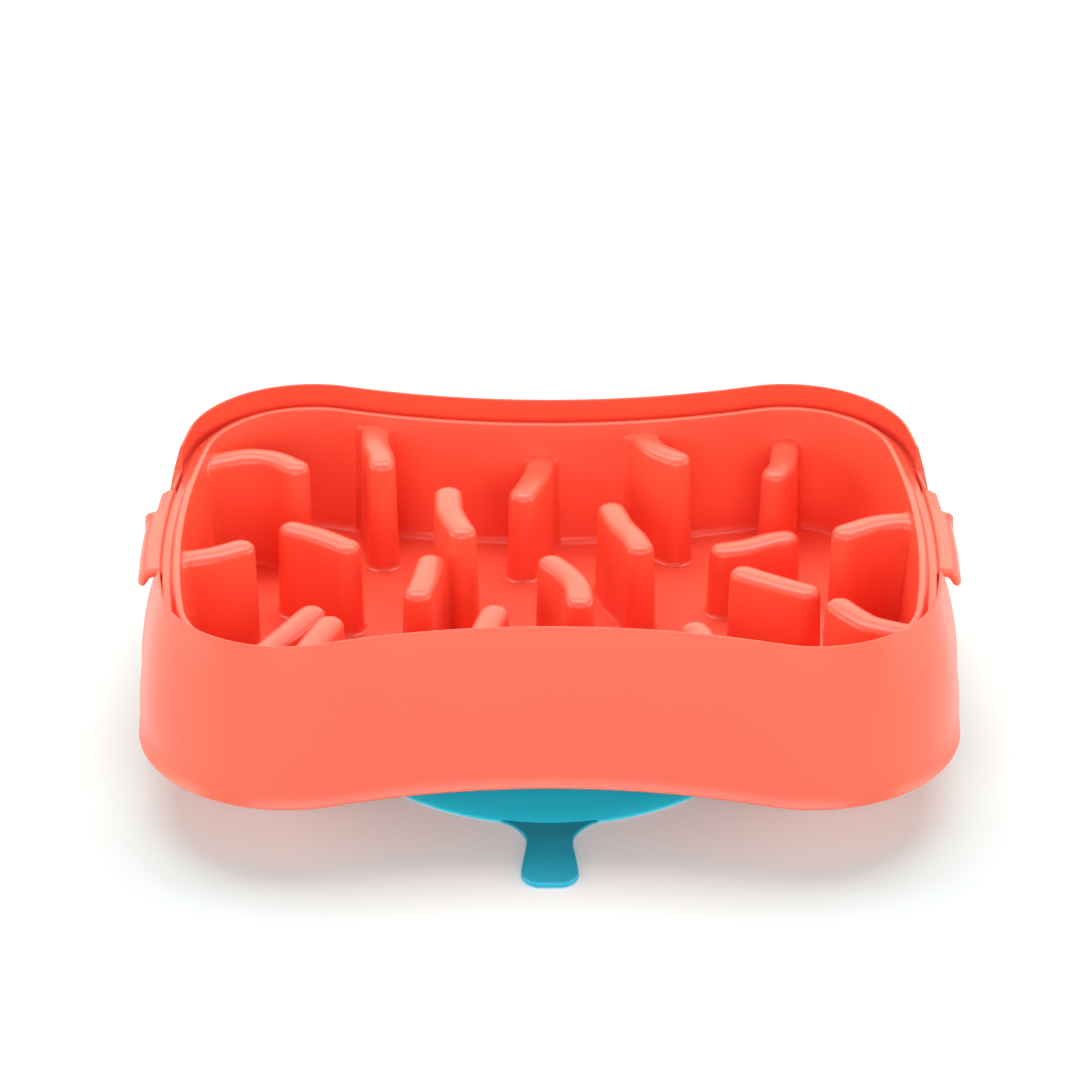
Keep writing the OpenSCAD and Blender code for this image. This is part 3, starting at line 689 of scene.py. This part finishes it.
def bowl_section(s, kind):
    """The wall's section as (out, depth): slot, finger recess, cheek, side by a cheek, or plain."""
    foot = s.foot_out if kind == "plain" else s.recess_foot
    slot_depth = s.tab_drop - s.tab_thick - s.fit_gap
    top = {"slot": slot_depth, "recess": s.gap_depth, "cheek": s.gap_depth}.get(kind, 0.0)
    inset = kind in ("slot", "recess")
    half = s.rim_thick / 2 if top == 0 else s.inset_half * 0.8
    edge = s.rim_thick
    bottom = s.bowl_height
    deck = bottom - s.deck_thick
    seat = s.ledge_depth + s.ledge_thick + s.fit_gap

    def back(d):
        """How far the recess has come back to the plain wall."""
        return eased((d - s.recess_from) / (s.recess_to - s.recess_from))

    def outer(d):
        """The outer face at a depth."""
        plain = wall_out(s, d, foot)
        return mix(s.inset_half, plain, back(d)) if inset else plain

    def inner(d):
        """The inner face at a depth, with the bead that closes the gap under the ledge."""
        plain = wall_in(s, d)
        face = plain if top == 0 else mix(-s.inset_half, plain, back(d - s.wall_thick / 2))
        if d < seat:
            return face
        bead = s.seat_in * (1 - eased((d - seat - BEAD_FULL) / BEAD_FADE))
        return min(face, max(face - bead, -s.lip_in + s.lip_width))

    # The foot's edge, then up the outside, over the rim and down the inside to the deck
    path = []
    reach = s.wall_lean + foot
    for a in np.radians([90, 60, 30]):
        path.append((reach - edge + edge * math.cos(a), bottom - edge + edge * math.sin(a)))
    depths = mix(bottom - edge, top + half, np.linspace(0, 1, 30) ** 1.15)
    path += [(float(outer(d)), d) for d in depths]
    start, end = float(outer(top + half)), float(inner(top + half))
    centre, spread = (start + end) / 2, (start - end) / 2
    # A thin edge is round, a wide one is flatter on top
    square = 1 if spread < half * 1.3 else FLAT_TOP
    for a in np.radians(np.arange(15, 180, 15)):
        across = math.copysign(abs(math.cos(a)) ** square, math.cos(a))
        path.append((centre + spread * across, top + half - half * math.sin(a) ** square))
    depths = [seat] * 7
    if top + half < seat:
        depths = list(mix(top + half, seat - 0.00005, np.linspace(0, 1, 7)))
    depths += list(mix(max(seat, top + half), deck - s.wall_thick, np.linspace(0, 1, 24) ** 1.6))
    path += [(float(inner(d)), d) for d in depths]
    fillet = s.wall_thick
    x0 = float(inner(deck - fillet)) - fillet
    for a in np.radians([22.5, 45, 67.5, 90]):
        path.append((x0 + fillet * math.cos(a), deck - fillet + fillet * math.sin(a)))
    return np.array(path)


def around(edge, step):
    """Stations that round the step between two sections."""
    return [edge + step * k for k in (-2.4, -1.3, -0.7, -0.3, 0.0, 0.3, 0.7, 1.3, 2.4)]


def section_shares(y, slot, cheek, gap):
    """The shares of slot, recess, cheek, side and plain section at a station."""
    shares = np.array([1.0, 0, 0, 0, 0])
    for edge, blend, to in ((slot, SLOT_BLEND, 1), (cheek, CHEEK_BLEND, 2), (gap, CHEEK_BLEND, 3)):
        share = float(eased((y - edge + blend) / (2 * blend)))
        shares = shares * (1 - share)
        shares[to] += share
    plain = float(np.clip((y - gap) / FOOT_BLEND, 0, 1))
    shares[4] += shares[3] * plain
    shares[3] *= 1 - plain
    return shares


def socket_profile(s):
    """The ring under the deck that holds the cup's button, as (radius, height)."""
    mouth, seat = s.neck_radius + s.fit_gap, s.button_radius + s.fit_gap
    low, top, r = s.foot_z - s.socket_height, s.foot_z + s.deck_thick / 2, s.socket_radius
    return [
        (mouth, low + CHAMFER), (mouth + CHAMFER, low), (r - BEVEL, low),
        (r - BEVEL * 0.3, low + BEVEL * 0.3), (r, low + BEVEL),
        (r, s.foot_z - 0.0015), (r + 0.0004, s.foot_z - 0.0005), (r + 0.0015, s.foot_z + 0.0001),
        (r + 0.0015, top), (seat, top),
        (seat, low + s.neck_height), (mouth + CHAMFER, low + s.neck_height),
        (mouth, low + s.neck_height - CHAMFER), (mouth, low + CHAMFER),
    ]


class FEEDER_OT_outer_bowl(bpy.types.Operator):
    """Make the outer bowl with its finger recesses and its socket"""

    bl_idname = "feeder.outer_bowl"
    bl_label = "Outer Bowl"

    def execute(self, context):
        s, c = context.scene.feeder_sizes, context.scene.feeder_colours
        slot = s.tab_width / 2 + s.fit_gap
        gap = s.gap_width / 2
        cheek = gap - s.cheek_thick
        ys = list(BOWL_STATIONS) + around(slot, SLOT_STEP)
        ys = sorted(ys + around(cheek, CHEEK_STEP) + around(gap, CHEEK_STEP))
        plan = Outline(s, ys)
        kinds = ("slot", "recess", "cheek", "side", "plain")
        sections = np.array([bowl_section(s, kind) for kind in kinds])
        shares = [section_shares(y, slot, cheek, gap) for y in ys]
        shares += [np.array([0, 0, 0, 0, 1.0])] * (plan.index.max() + 1 - len(ys))
        shares = np.array(shares)[plan.index]
        rim_z = s.foot_z + s.bowl_height
        rings = []
        for j in range(sections.shape[1]):
            out, depth = (shares @ sections[:, j]).T
            rings.append(plan.ring(out, rim_z - depth))
        coral = surface("moulded_coral_bowl", "coral", c)
        parts = [skin(np.array(rings)), turned(socket_profile(s), s, coral)]
        bowl = solid("outer_bowl_moulding", parts)
        dress(bowl, coral, "bowl", ["outer_bowl"])
        return {"FINISHED"}


# The maze insert


def floor_depth(s):
    """Depth of the insert's floor, which lies on the deck."""
    return s.bowl_height - s.deck_thick - s.floor_thick


def insert_face(s, d):
    """The inner face of the insert's wall at a depth, as an offset from the rim."""
    floor = floor_depth(s)
    lean = s.insert_lean * np.maximum(d - s.lip_depth, 0) / (floor - s.lip_depth)
    start = floor - s.floor_radius
    turn = np.clip((d - start) / s.floor_radius, 0, 1)
    foot = s.insert_lean * (start - s.lip_depth) / (floor - s.lip_depth)
    curve = s.floor_radius * (1 - np.sqrt(np.maximum(1 - turn * turn, 0)))
    return -s.lip_in - np.where(d > start, foot + curve, lean)


def insert_section(s):
    """The insert's section as (out, depth), from its bottom over the lip down to its floor."""
    deck, under = s.bowl_height - s.deck_thick, s.ledge_depth + s.ledge_thick
    r = s.floor_radius
    start = floor_depth(s) - r
    path = []
    side = float(insert_face(s, start)) + s.insert_thick
    for a in np.radians(np.linspace(90, 0, 8)):
        path.append((side - r * (1 - math.cos(a)), deck - r * (1 - math.sin(a))))
    for d in np.linspace(start, under + FILLET, 5)[1:]:
        path.append((float(insert_face(s, d)) + s.insert_thick, d))
    root = float(insert_face(s, under)) + s.insert_thick
    rim, edge = -s.ledge_in, LEDGE_EDGE
    path += [(root + 0.0002, under + 0.0002), (root + FILLET, under), (rim - edge, under)]
    path += [(rim - edge * 0.3, under - edge * 0.3), (rim, under - edge)]
    path += [(rim, s.ledge_depth + edge), (rim - edge * 0.3, s.ledge_depth + edge * 0.3)]
    path += [(rim - edge, s.ledge_depth)]
    tall = s.ledge_depth - s.lip_depth
    points = [(-s.lip_in + s.lip_width * a, s.lip_depth + tall * b) for a, b in LIP]
    path += [tuple(p) for p in smooth_line(points, 3)]
    for d in np.linspace(s.lip_depth + tall * 0.45, start, 9):
        path.append((float(insert_face(s, d)), d))
    base = float(insert_face(s, start))
    for a in np.radians(np.linspace(0, 90, 10)[1:]):
        path.append((base - r * (1 - math.cos(a)), start + r * math.sin(a)))
    return np.array(path)


def tab_profile(s):
    """A grip tab's section: its upper line, its lower line, and how many points are the plate's."""
    under = s.ledge_depth + s.ledge_thick
    out, drop, top, inset = s.tab_out, s.tab_drop, s.tab_depth, s.inset_half
    root = -s.ledge_in - TAB_ROOT
    plate = [
        (root, s.ledge_depth + 0.0002), (-inset - 0.0006, s.ledge_depth - 0.0001),
        (-inset, top + 0.0005), (inset, top), (out * 0.33, top + 0.0003),
        (out * 0.55, top + 0.0006), (out * 0.6, top + 0.0008),
    ]
    hem = [
        (out * 0.63, top + 0.0013), (out * 0.74, top + 0.0018), (out * 0.835, top + 0.0027),
        (out * 0.905, mix(top, drop, 0.53)), (out * 0.955, mix(top, drop, 0.74)),
        (out * 0.99, drop - 0.001), (out, drop - 0.0006),
    ]
    below = [
        (root, under - 0.0002), (-inset - 0.0003, under - 0.0001),
        (-inset, under + 0.0002), (inset, under + 0.0003), (out * 0.2, under),
        (out * 0.38, under + 0.0003), (out * 0.48, under + 0.0008),
    ]
    fold = [
        (out * 0.52, under + 0.0012), (out * 0.57, under + 0.0018),
        (out * 0.63, mix(under, drop, 0.64)), (out * 0.7, drop - 0.0006),
        (out * 0.79, drop - 0.0001), (out * 0.9, drop), (out - 0.0003, drop - 0.0001),
    ]
    plate, hem, below, fold = (smooth_line(line, 3) for line in (plate, hem, below, fold))
    return np.vstack([plate, hem]), np.vstack([below, fold]), len(plate)


def tab_part(s, end):
    """A grip tab: a plate from the ledge through the slot in the wall, and its turned-down hem."""
    upper, lower, flat = tab_profile(s)
    plan = Outline(s, [0.0])
    half, corner = s.tab_width / 2, s.tab_width * CORNER
    share = np.linspace(-1, 1, 81)
    ys = half * np.sin(share * math.pi / 2) * 0.35 + half * share * 0.65
    near = half - np.array(END_STEPS)
    ys = np.sort(np.concatenate([ys, near, -near]))
    rings = []
    for y in ys:
        # The hem ends before the plate does, and what is left of the plate reaches less far out
        held = 0.03 + 0.97 * (1 - eased((y / half - HEM_END[0]) / HEM_END[1]))
        wide = 1 - eased((y / half - PLATE_NARROWS[0]) / PLATE_NARROWS[1])
        past = min(max(abs(y) - half + corner, 0) / corner, 1)
        keep = mix(NARROW_REACH, 1, wide) * mix(1, CORNER_REACH, 1 - math.cos(math.pi / 2 * past))
        a, b = upper.copy(), lower.copy()
        a[flat:, 1] = mix(s.tab_depth + PLATE_END, a[flat:, 1], held)
        b[flat:, 1] = mix(lower[flat - 1, 1], b[flat:, 1], held)
        # The hem's front corner hangs a little lower
        b[flat:, 1] -= max((-y / half - 0.965) / 0.035, 0) ** 2 * FRONT_DROP
        # Both ends of the tab are rounded
        side = np.clip((abs(y) - half + END_ROUND) / END_ROUND, 0, 0.995)
        thin = math.sqrt(1 - side * side)
        middle = (a + b) / 2
        loop = np.vstack([middle + (a - middle) * thin, (middle + (b - middle) * thin)[::-1]])
        outside = loop[:, 0] > s.inset_half
        reach = np.where(outside, mix(s.inset_half, loop[:, 0], keep), loop[:, 0])
        x = plan.end_x + np.sqrt((plan.end_r + reach) ** 2 - y * y)
        z = s.foot_z + s.bowl_height - loop[:, 1]
        rings.append(np.column_stack([end * x, np.full(len(x), y + s.middle_y), z]))
    verts, faces = skin(np.array(rings), caps=False)
    n = len(rings[0])
    last = (len(rings) - 1) * n
    for i in range(n // 2 - 1):
        faces.append((i + 1, i, n - 1 - i, n - 2 - i))
        faces.append((last + i, last + i + 1, last + n - 2 - i, last + n - 1 - i))
    return verts, faces


def ridge_ring(s, line, step=0.0009, cap=12):
    """The centres and sideways directions round a ridge's middle line, and that line."""
    scale = np.array([s.rim_length / 2, s.rim_width / 2])
    fine = smooth_line(np.array(line) * scale, 24) + np.array([0, s.middle_y])
    run = np.concatenate([[0], np.cumsum(np.linalg.norm(np.diff(fine, axis=0), axis=1))])
    at = np.linspace(0, run[-1], max(8, int(run[-1] / step)))
    p = np.column_stack([np.interp(at, run, fine[:, 0]), np.interp(at, run, fine[:, 1])])
    tangent = np.gradient(p, axis=0)
    tangent /= np.linalg.norm(tangent, axis=1)[:, None]
    left = np.column_stack([-tangent[:, 1], tangent[:, 0]])

    def turn(first):
        """Directions from one side of an end round to its other side."""
        spots = [(math.cos(a), math.sin(a)) for a in (-math.pi * k / cap for k in range(1, cap))]
        return [(first[0] * c - first[1] * d, first[0] * d + first[1] * c) for c, d in spots]

    centres = [*p, *[p[-1]] * (cap - 1), *p[::-1], *[p[0]] * (cap - 1)]
    sides = [*left, *turn(left[-1]), *(-left[::-1]), *turn(-left[0])]
    flat = np.zeros(len(centres))
    return np.column_stack([np.array(centres), flat]), np.column_stack([np.array(sides), flat]), p


def ridge_levels():
    """A ridge's levels: shares of half width, draft and fillet, and of height, rounding and fillet."""
    wide, high = [], []
    # The fillet starts just under the floor
    for a in np.radians([0, 14, 30, 48, 68, 90]):
        wide.append((1, 1, 1 - math.sin(a)))
        high.append((0, 0, 1 - math.cos(a) - (0.03 if a == 0 else 0)))
    for u in (0.34, 0.67, 1.0):
        wide.append((1, 1 - u, 0))
        high.append((u, -u, 1 - u))
    for a in np.radians([14, 26, 38, 50, 61, 71, 80, 90]):
        across = math.cos(a) if a < math.pi / 2 - 1e-6 else 0.0
        rise = (1 - across**2.5) ** 0.4
        wide.append((across, 0, 0))
        high.append((1, rise - 1, 0))
    return wide, high


def ridge_parts(s, plan, material):
    """All the ridges, widened where they meet the wall and ended inside it."""
    tree, ids = ridge_tree()
    wide, high = ridge_levels()
    section = point_object("section", [(0, 0, 0)] * len(wide), {"wide": wide, "high": high})
    rim_z = s.foot_z + s.bowl_height
    floor = floor_depth(s)
    depth = {"tall": s.tall_depth, "middle": s.middle_depth, "low": s.low_depth}
    parts = []
    for height, line in RIDGES:
        centres, sides, path = ridge_ring(s, line)
        values = {
            "Section": section,
            "Half Width": s.ridge_width / 2,
            "Draft": s.ridge_draft,
            "Fillet": s.ridge_fillet,
            "Height": floor - depth[height],
            "Rounding": s.ridge_round,
            "Floor Z": rim_z - floor,
            "Finish": material,
        }
        mesh = grown(point_object("ridge", centres, {"side": sides}), tree, ids, values)
        verts, faces = mesh_parts(mesh)
        bpy.data.meshes.remove(mesh)
        v = np.array(verts)
        v[:, :2] = meet_wall(s, plan, v, path, rim_z)
        parts.append((v.tolist(), faces))
    bpy.data.objects.remove(section)
    bpy.data.node_groups.remove(tree)
    return parts


def meet_wall(s, plan, v, path, rim_z):
    """Moves a ridge's points aside into a fillet near the wall, and back to the wall's middle."""
    xy = v[:, :2]
    gap = ((xy[:, None, :] - path[None]) ** 2).sum(2)
    away = xy - path[gap.argmin(1)]
    far = np.linalg.norm(away, axis=1)
    side = away / np.maximum(far, 1e-9)[:, None]
    face = insert_face(s, rim_z - v[:, 2])
    out, _ = plan.offset(xy)
    r = s.wall_fillet
    clear = np.clip(face - out, 0, r)
    rise = r - np.sqrt(np.maximum(r * r - (r - clear) ** 2, 0))
    xy = xy + side * (rise * np.clip(far / (s.ridge_width / 2), 0, 1))[:, None]
    out, square = plan.offset(xy)
    over = np.maximum(out - face - s.insert_thick / 2, 0)
    return xy - square * over[:, None]


class FEEDER_OT_maze_insert(bpy.types.Operator):
    """Make the maze insert: shell, ridges and grip tabs"""

    bl_idname = "feeder.maze_insert"
    bl_label = "Maze Insert"

    def execute(self, context):
        s, c = context.scene.feeder_sizes, context.scene.feeder_colours
        plan = Outline(s, INSERT_STATIONS)
        rim_z = s.foot_z + s.bowl_height
        rings = [plan.ring(out, rim_z - depth) for out, depth in insert_section(s)]
        coral = surface("moulded_coral_insert", "coral", c)
        parts = [skin(np.array(rings)), tab_part(s, 1), tab_part(s, -1)]
        fine = Outline(s, RIDGE_STATIONS, corner=150, shoulder=60, waist=110)
        parts += ridge_parts(s, fine, coral)
        insert = solid("maze_insert_moulding", parts)
        dress(insert, coral, "insert", ["maze_insert", "maze_ridges"])
        return {"FINISHED"}


# The suction cup and its pull tab


def bell_profile(s):
    """The cup's bell, as (radius, height): crown, underside, seal ring, thin edge and slope."""
    r, lip, edge, hole = s.cup_radius, s.cup_lip, s.cup_edge, s.plug_radius
    crown, socket = s.foot_z - s.socket_height, s.socket_radius
    under, seal = crown - s.crown_thick, r - s.seal_width
    profile = [(hole, crown), (hole, under), (socket - CROWN_TURN, under)]
    profile += [(socket + CROWN_TURN, under - FILLET)]
    profile += [(seal - lip, lip), (seal - lip * 0.4, lip * 0.5), (seal, 0), (r - FILLET, 0)]
    profile += [(r - edge * 0.15, edge * 0.12), (r, edge * 0.35)]
    for a in np.radians([0, 15, 30, 45, 60]):
        profile.append((r - edge * 0.9 * (1 - math.cos(a)), edge * (0.45 + 0.6 * math.sin(a))))
    for u in np.linspace(0, 1, 12):
        x = mix(r - edge, socket + s.crown_thick, u)
        profile.append((x, mix(edge + 0.0003, crown - 0.0005, u)))
    return profile + [(socket + CROWN_TURN / 2, crown), (hole, crown)]


def button_profile(s):
    """The cup's neck and button, as (radius, height), with the hole for the plug."""
    crown, neck, r = s.foot_z - s.socket_height, s.neck_radius, s.button_radius
    hole_top = crown - s.crown_thick + s.plug_length
    low, top = crown + s.neck_height + s.fit_gap, s.foot_z - s.fit_gap
    return [
        (0, hole_top), (s.plug_radius, hole_top), (s.plug_radius, crown),
        (neck + FILLET, crown), (neck, crown + FILLET),
        (neck, low - CHAMFER), (neck + CHAMFER, low), (r - CHAMFER, low), (r, low + CHAMFER),
        (r, top - BEVEL), (r - CHAMFER, top - CHAMFER), (r - BEVEL, top), (0, top),
    ]


class FEEDER_OT_suction_cup(bpy.types.Operator):
    """Turn the suction cup: sealing ring, slope, crown and button"""

    bl_idname = "feeder.suction_cup"
    bl_label = "Suction Cup"

    def execute(self, context):
        s, c = context.scene.feeder_sizes, context.scene.feeder_colours
        # The cup's finish carries the lighter painted colour, which is painted light for its slope in the
        # bowl's shade
        silicone = surface("cup_silicone_painted_lighter", "cup", c)
        cup = solid("suction_cup_bell", [turned(bell_profile(s), s, silicone)])
        dress(cup, silicone, "cup", ["suction_cup"])
        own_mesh(cup)
        # The button is turned as a piece of its own and goes with the cup's body
        knob = solid("suction_cup_button", [turned(button_profile(s), s, silicone)])
        dress(knob, silicone, "cup", ["suction_cup"])
        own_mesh(knob)
        return {"FINISHED"}


def pull_outline(s):
    """Half the pull tab's outline from root to end, as (x, y), and the y of root, neck and end."""
    root, end = -s.cup_radius - s.fit_gap, -s.cup_radius - s.pull_length
    flare = (s.pull_root - s.pull_neck) / 2
    flare_r, corner = flare * FLARE_ROUND, s.pull_end * PULL_CORNER
    neck = root - math.sqrt(flare_r**2 - (flare_r - flare) ** 2)
    side = []
    for a in np.linspace(math.asin((root - neck) / flare_r), 0, 14):
        side.append((s.pull_neck / 2 + flare_r * (1 - math.cos(a)), neck + flare_r * math.sin(a)))
    for u in np.linspace(0, 1, 12)[1:]:
        widening = float(eased(u)) * 0.6 + u * 0.4
        side.append((mix(s.pull_neck, s.pull_end, widening) / 2, mix(neck, end + corner, u)))
    for a in np.radians(np.linspace(0, 86, 14)[1:]):
        side.append((s.pull_end / 2 - corner * (1 - math.cos(a)), end + corner * (1 - math.sin(a))))
    side.append((side[-1][0] - 0.0008, end))
    return [(side[0][0] + 0.0001, root + 0.0004)] + side, (root, neck, end)


def pull_columns(w):
    """Places across the pull tab at a half width, close together at its rounded rim."""
    xs = [w - step for step in RIM_STEPS] + [w * share for share in (0.8, 0.6, 0.4, 0.2)]
    xs = sorted(set(round(x, 7) for x in xs if x > 0), reverse=True)
    while len(xs) < 10:
        xs.append(xs[-1] * 0.7)
    return xs[:10] + [0.0] + [-x for x in reversed(xs[:10])]


class FEEDER_OT_pull_tab(bpy.types.Operator):
    """Make the pull tab that lifts the cup's edge"""

    bl_idname = "feeder.pull_tab"
    bl_label = "Pull Tab"

    def execute(self, context):
        s, c = context.scene.feeder_sizes, context.scene.feeder_colours
        side, (root, neck, end) = pull_outline(s)
        rings = []
        for w, y in side:
            near_end = max(y - end, 0)
            to_root = float(eased((y - neck) / (root - neck)))
            thick = mix(s.pull_thick, s.cup_edge * 0.95, to_root)
            top, low = [], []
            for x in pull_columns(w):
                inside = min(max(min(w - abs(x), near_end) / RIM_STEPS[-1], 0), 1)
                h = thick / 2 * (RIM_LEFT + 0.6 * math.sqrt(1 - (1 - inside) ** 2))
                # The root follows the cup's round edge
                back = (s.cup_radius - math.sqrt(s.cup_radius**2 - x * x)) * to_root
                top.append((x, y + back + s.middle_y, thick / 2 + h))
                low.append((x, y + back + s.middle_y, thick / 2 - h))
            rings.append(top + low[::-1])
        blue = surface("soft_silicone_tab", "silicone", c)
        tab = solid("pull_tab_blade", [skin(np.array(rings))])
        dress(tab, blue, "tab", ["pull_tab"])
        return {"FINISHED"}


class FEEDER_OT_lock_plug(bpy.types.Operator):
    """Give the lock plug under the cup its finish"""

    bl_idname = "feeder.lock_plug"
    bl_label = "Lock Plug"

    def execute(self, context):
        grey = surface("moulded_grey_plug", "plug", context.scene.feeder_colours)
        plug = frame["nodes"]["lock_plug"]
        if plug.material_slots:
            for place in plug.material_slots:
                place.material = grey
        else:
            plug.data.materials.append(grey)
        return {"FINISHED"}


# The studio


def studio_floor(c):
    """A pale floor that keeps its shadow and glows a little for the camera alone."""
    mesh = bpy.data.meshes.new("studio_floor")
    corners = [(x * FLOOR_REACH, y * FLOOR_REACH, 0) for x, y in ((-1, -1), (1, -1), (1, 1), (-1, 1))]
    mesh.from_pydata(corners, [], [(0, 1, 2, 3)])
    paper = bpy.data.materials.new("studio_paper")
    paper.use_nodes = True
    nodes, links = paper.node_tree.nodes, paper.node_tree.links
    shader = nodes["Principled BSDF"]
    fill(shader, {"Base Color": (*c.studio, 1), "Roughness": 0.9, "Specular IOR Level": 0.1})
    fill(shader, {"Emission Color": (1, 1, 1, 1)})
    seen = nodes.new("ShaderNodeMath")
    seen.operation = "MULTIPLY"
    fill(seen, {1: FLOOR_GLOW})
    links.new(nodes.new("ShaderNodeLightPath").outputs["Is Camera Ray"], seen.inputs[0])
    links.new(seen.outputs[0], shader.inputs["Emission Strength"])
    mesh.materials.append(paper)
    return placed("studio_floor", mesh)


def studio_world():
    """A white world: dim on the object, and full for the camera, glass and gloss."""
    world = bpy.data.worlds.new("studio")
    world.use_nodes = True
    nodes, links = world.node_tree.nodes, world.node_tree.links
    rays = nodes.new("ShaderNodeLightPath").outputs
    shown = rays["Is Camera Ray"]
    for ray in ("Is Transmission Ray", "Is Glossy Ray"):
        either = nodes.new("ShaderNodeMath")
        either.operation = "MAXIMUM"
        links.new(shown, either.inputs[0])
        links.new(rays[ray], either.inputs[1])
        shown = either.outputs[0]
    level = nodes.new("ShaderNodeMapRange")
    fill(level, {"To Min": WORLD_LEVELS[0], "To Max": WORLD_LEVELS[1]})
    links.new(shown, level.inputs["Value"])
    fill(nodes["Background"], {"Color": (1, 1, 1, 1)})
    links.new(level.outputs["Result"], nodes["Background"].inputs["Strength"])
    return world


def studio_lamp(name, place, size, power, tone):
    """A flat lamp that faces the bowl."""
    data = bpy.data.lights.new(name, "AREA")
    data.shape = "RECTANGLE"
    data.size, data.size_y = size
    data.energy = power
    data.color = tone
    lamp = placed(name, data)
    lamp.location = place
    lamp.rotation_euler = (Vector(LAMP_TARGET) - Vector(place)).to_track_quat("-Z", "Y").to_euler()


def studio_camera():
    """A camera that looks down on the bowl from the front."""
    data = bpy.data.cameras.new("studio_camera")
    data.sensor_width = 36.0
    data.sensor_fit = "HORIZONTAL"
    data.lens = CAMERA_LENS
    data.clip_start, data.clip_end = 0.05, 50.0
    camera = placed("studio_camera", data)
    camera.location = CAMERA_PLACE
    camera.rotation_euler = (math.radians(90 - CAMERA_DOWN), 0, 0)
    return camera


class FEEDER_OT_stage(bpy.types.Operator):
    """Set up the studio: floor, backdrop light, lamps and camera"""

    bl_idname = "feeder.stage"
    bl_label = "Studio"

    def execute(self, context):
        floor = studio_floor(context.scene.feeder_colours)
        context.scene.world = studio_world()
        for name, values in LAMPS.items():
            studio_lamp(name, *values)
        context.scene.camera = studio_camera()
        context.scene.view_settings.view_transform = "Standard"
        return {"FINISHED"}


class FEEDER_PT_panel(bpy.types.Panel):
    """Tools and sizes of the slow feeder bowl"""

    bl_label = "Slow Feeder Bowl"
    bl_idname = "FEEDER_PT_panel"
    bl_space_type = "VIEW_3D"
    bl_region_type = "UI"
    bl_category = "Feeder"

    def draw(self, context):
        layout = self.layout
        for kind in OPERATORS:
            layout.operator(kind.bl_idname)
        box = layout.box()
        for key in FeederColours.__annotations__:
            box.prop(context.scene.feeder_colours, key)
        box = layout.box()
        for key in FeederSizes.__annotations__:
            box.prop(context.scene.feeder_sizes, key)


OPERATORS = (
    FEEDER_OT_outer_bowl,
    FEEDER_OT_maze_insert,
    FEEDER_OT_suction_cup,
    FEEDER_OT_pull_tab,
    FEEDER_OT_lock_plug,
    FEEDER_OT_stage,
)
CLASSES = (FeederSizes, FeederColours) + OPERATORS + (FEEDER_PT_panel,)


def register():
    """Registers the classes and hangs the sizes and colours on the scene."""
    for kind in CLASSES:
        bpy.utils.register_class(kind)
    bpy.types.Scene.feeder_sizes = PointerProperty(type=FeederSizes)
    bpy.types.Scene.feeder_colours = PointerProperty(type=FeederColours)


def unregister():
    """Takes back what register did."""
    del bpy.types.Scene.feeder_sizes
    del bpy.types.Scene.feeder_colours
    for kind in reversed(CLASSES):
        bpy.utils.unregister_class(kind)


def main():
    """Builds the pieces and the studio."""
    register()
    bpy.ops.feeder.outer_bowl()
    bpy.ops.feeder.maze_insert()
    bpy.ops.feeder.suction_cup()
    bpy.ops.feeder.pull_tab()
    bpy.ops.feeder.lock_plug()
    bpy.ops.feeder.stage()


if __name__ == "__main__":
    main()
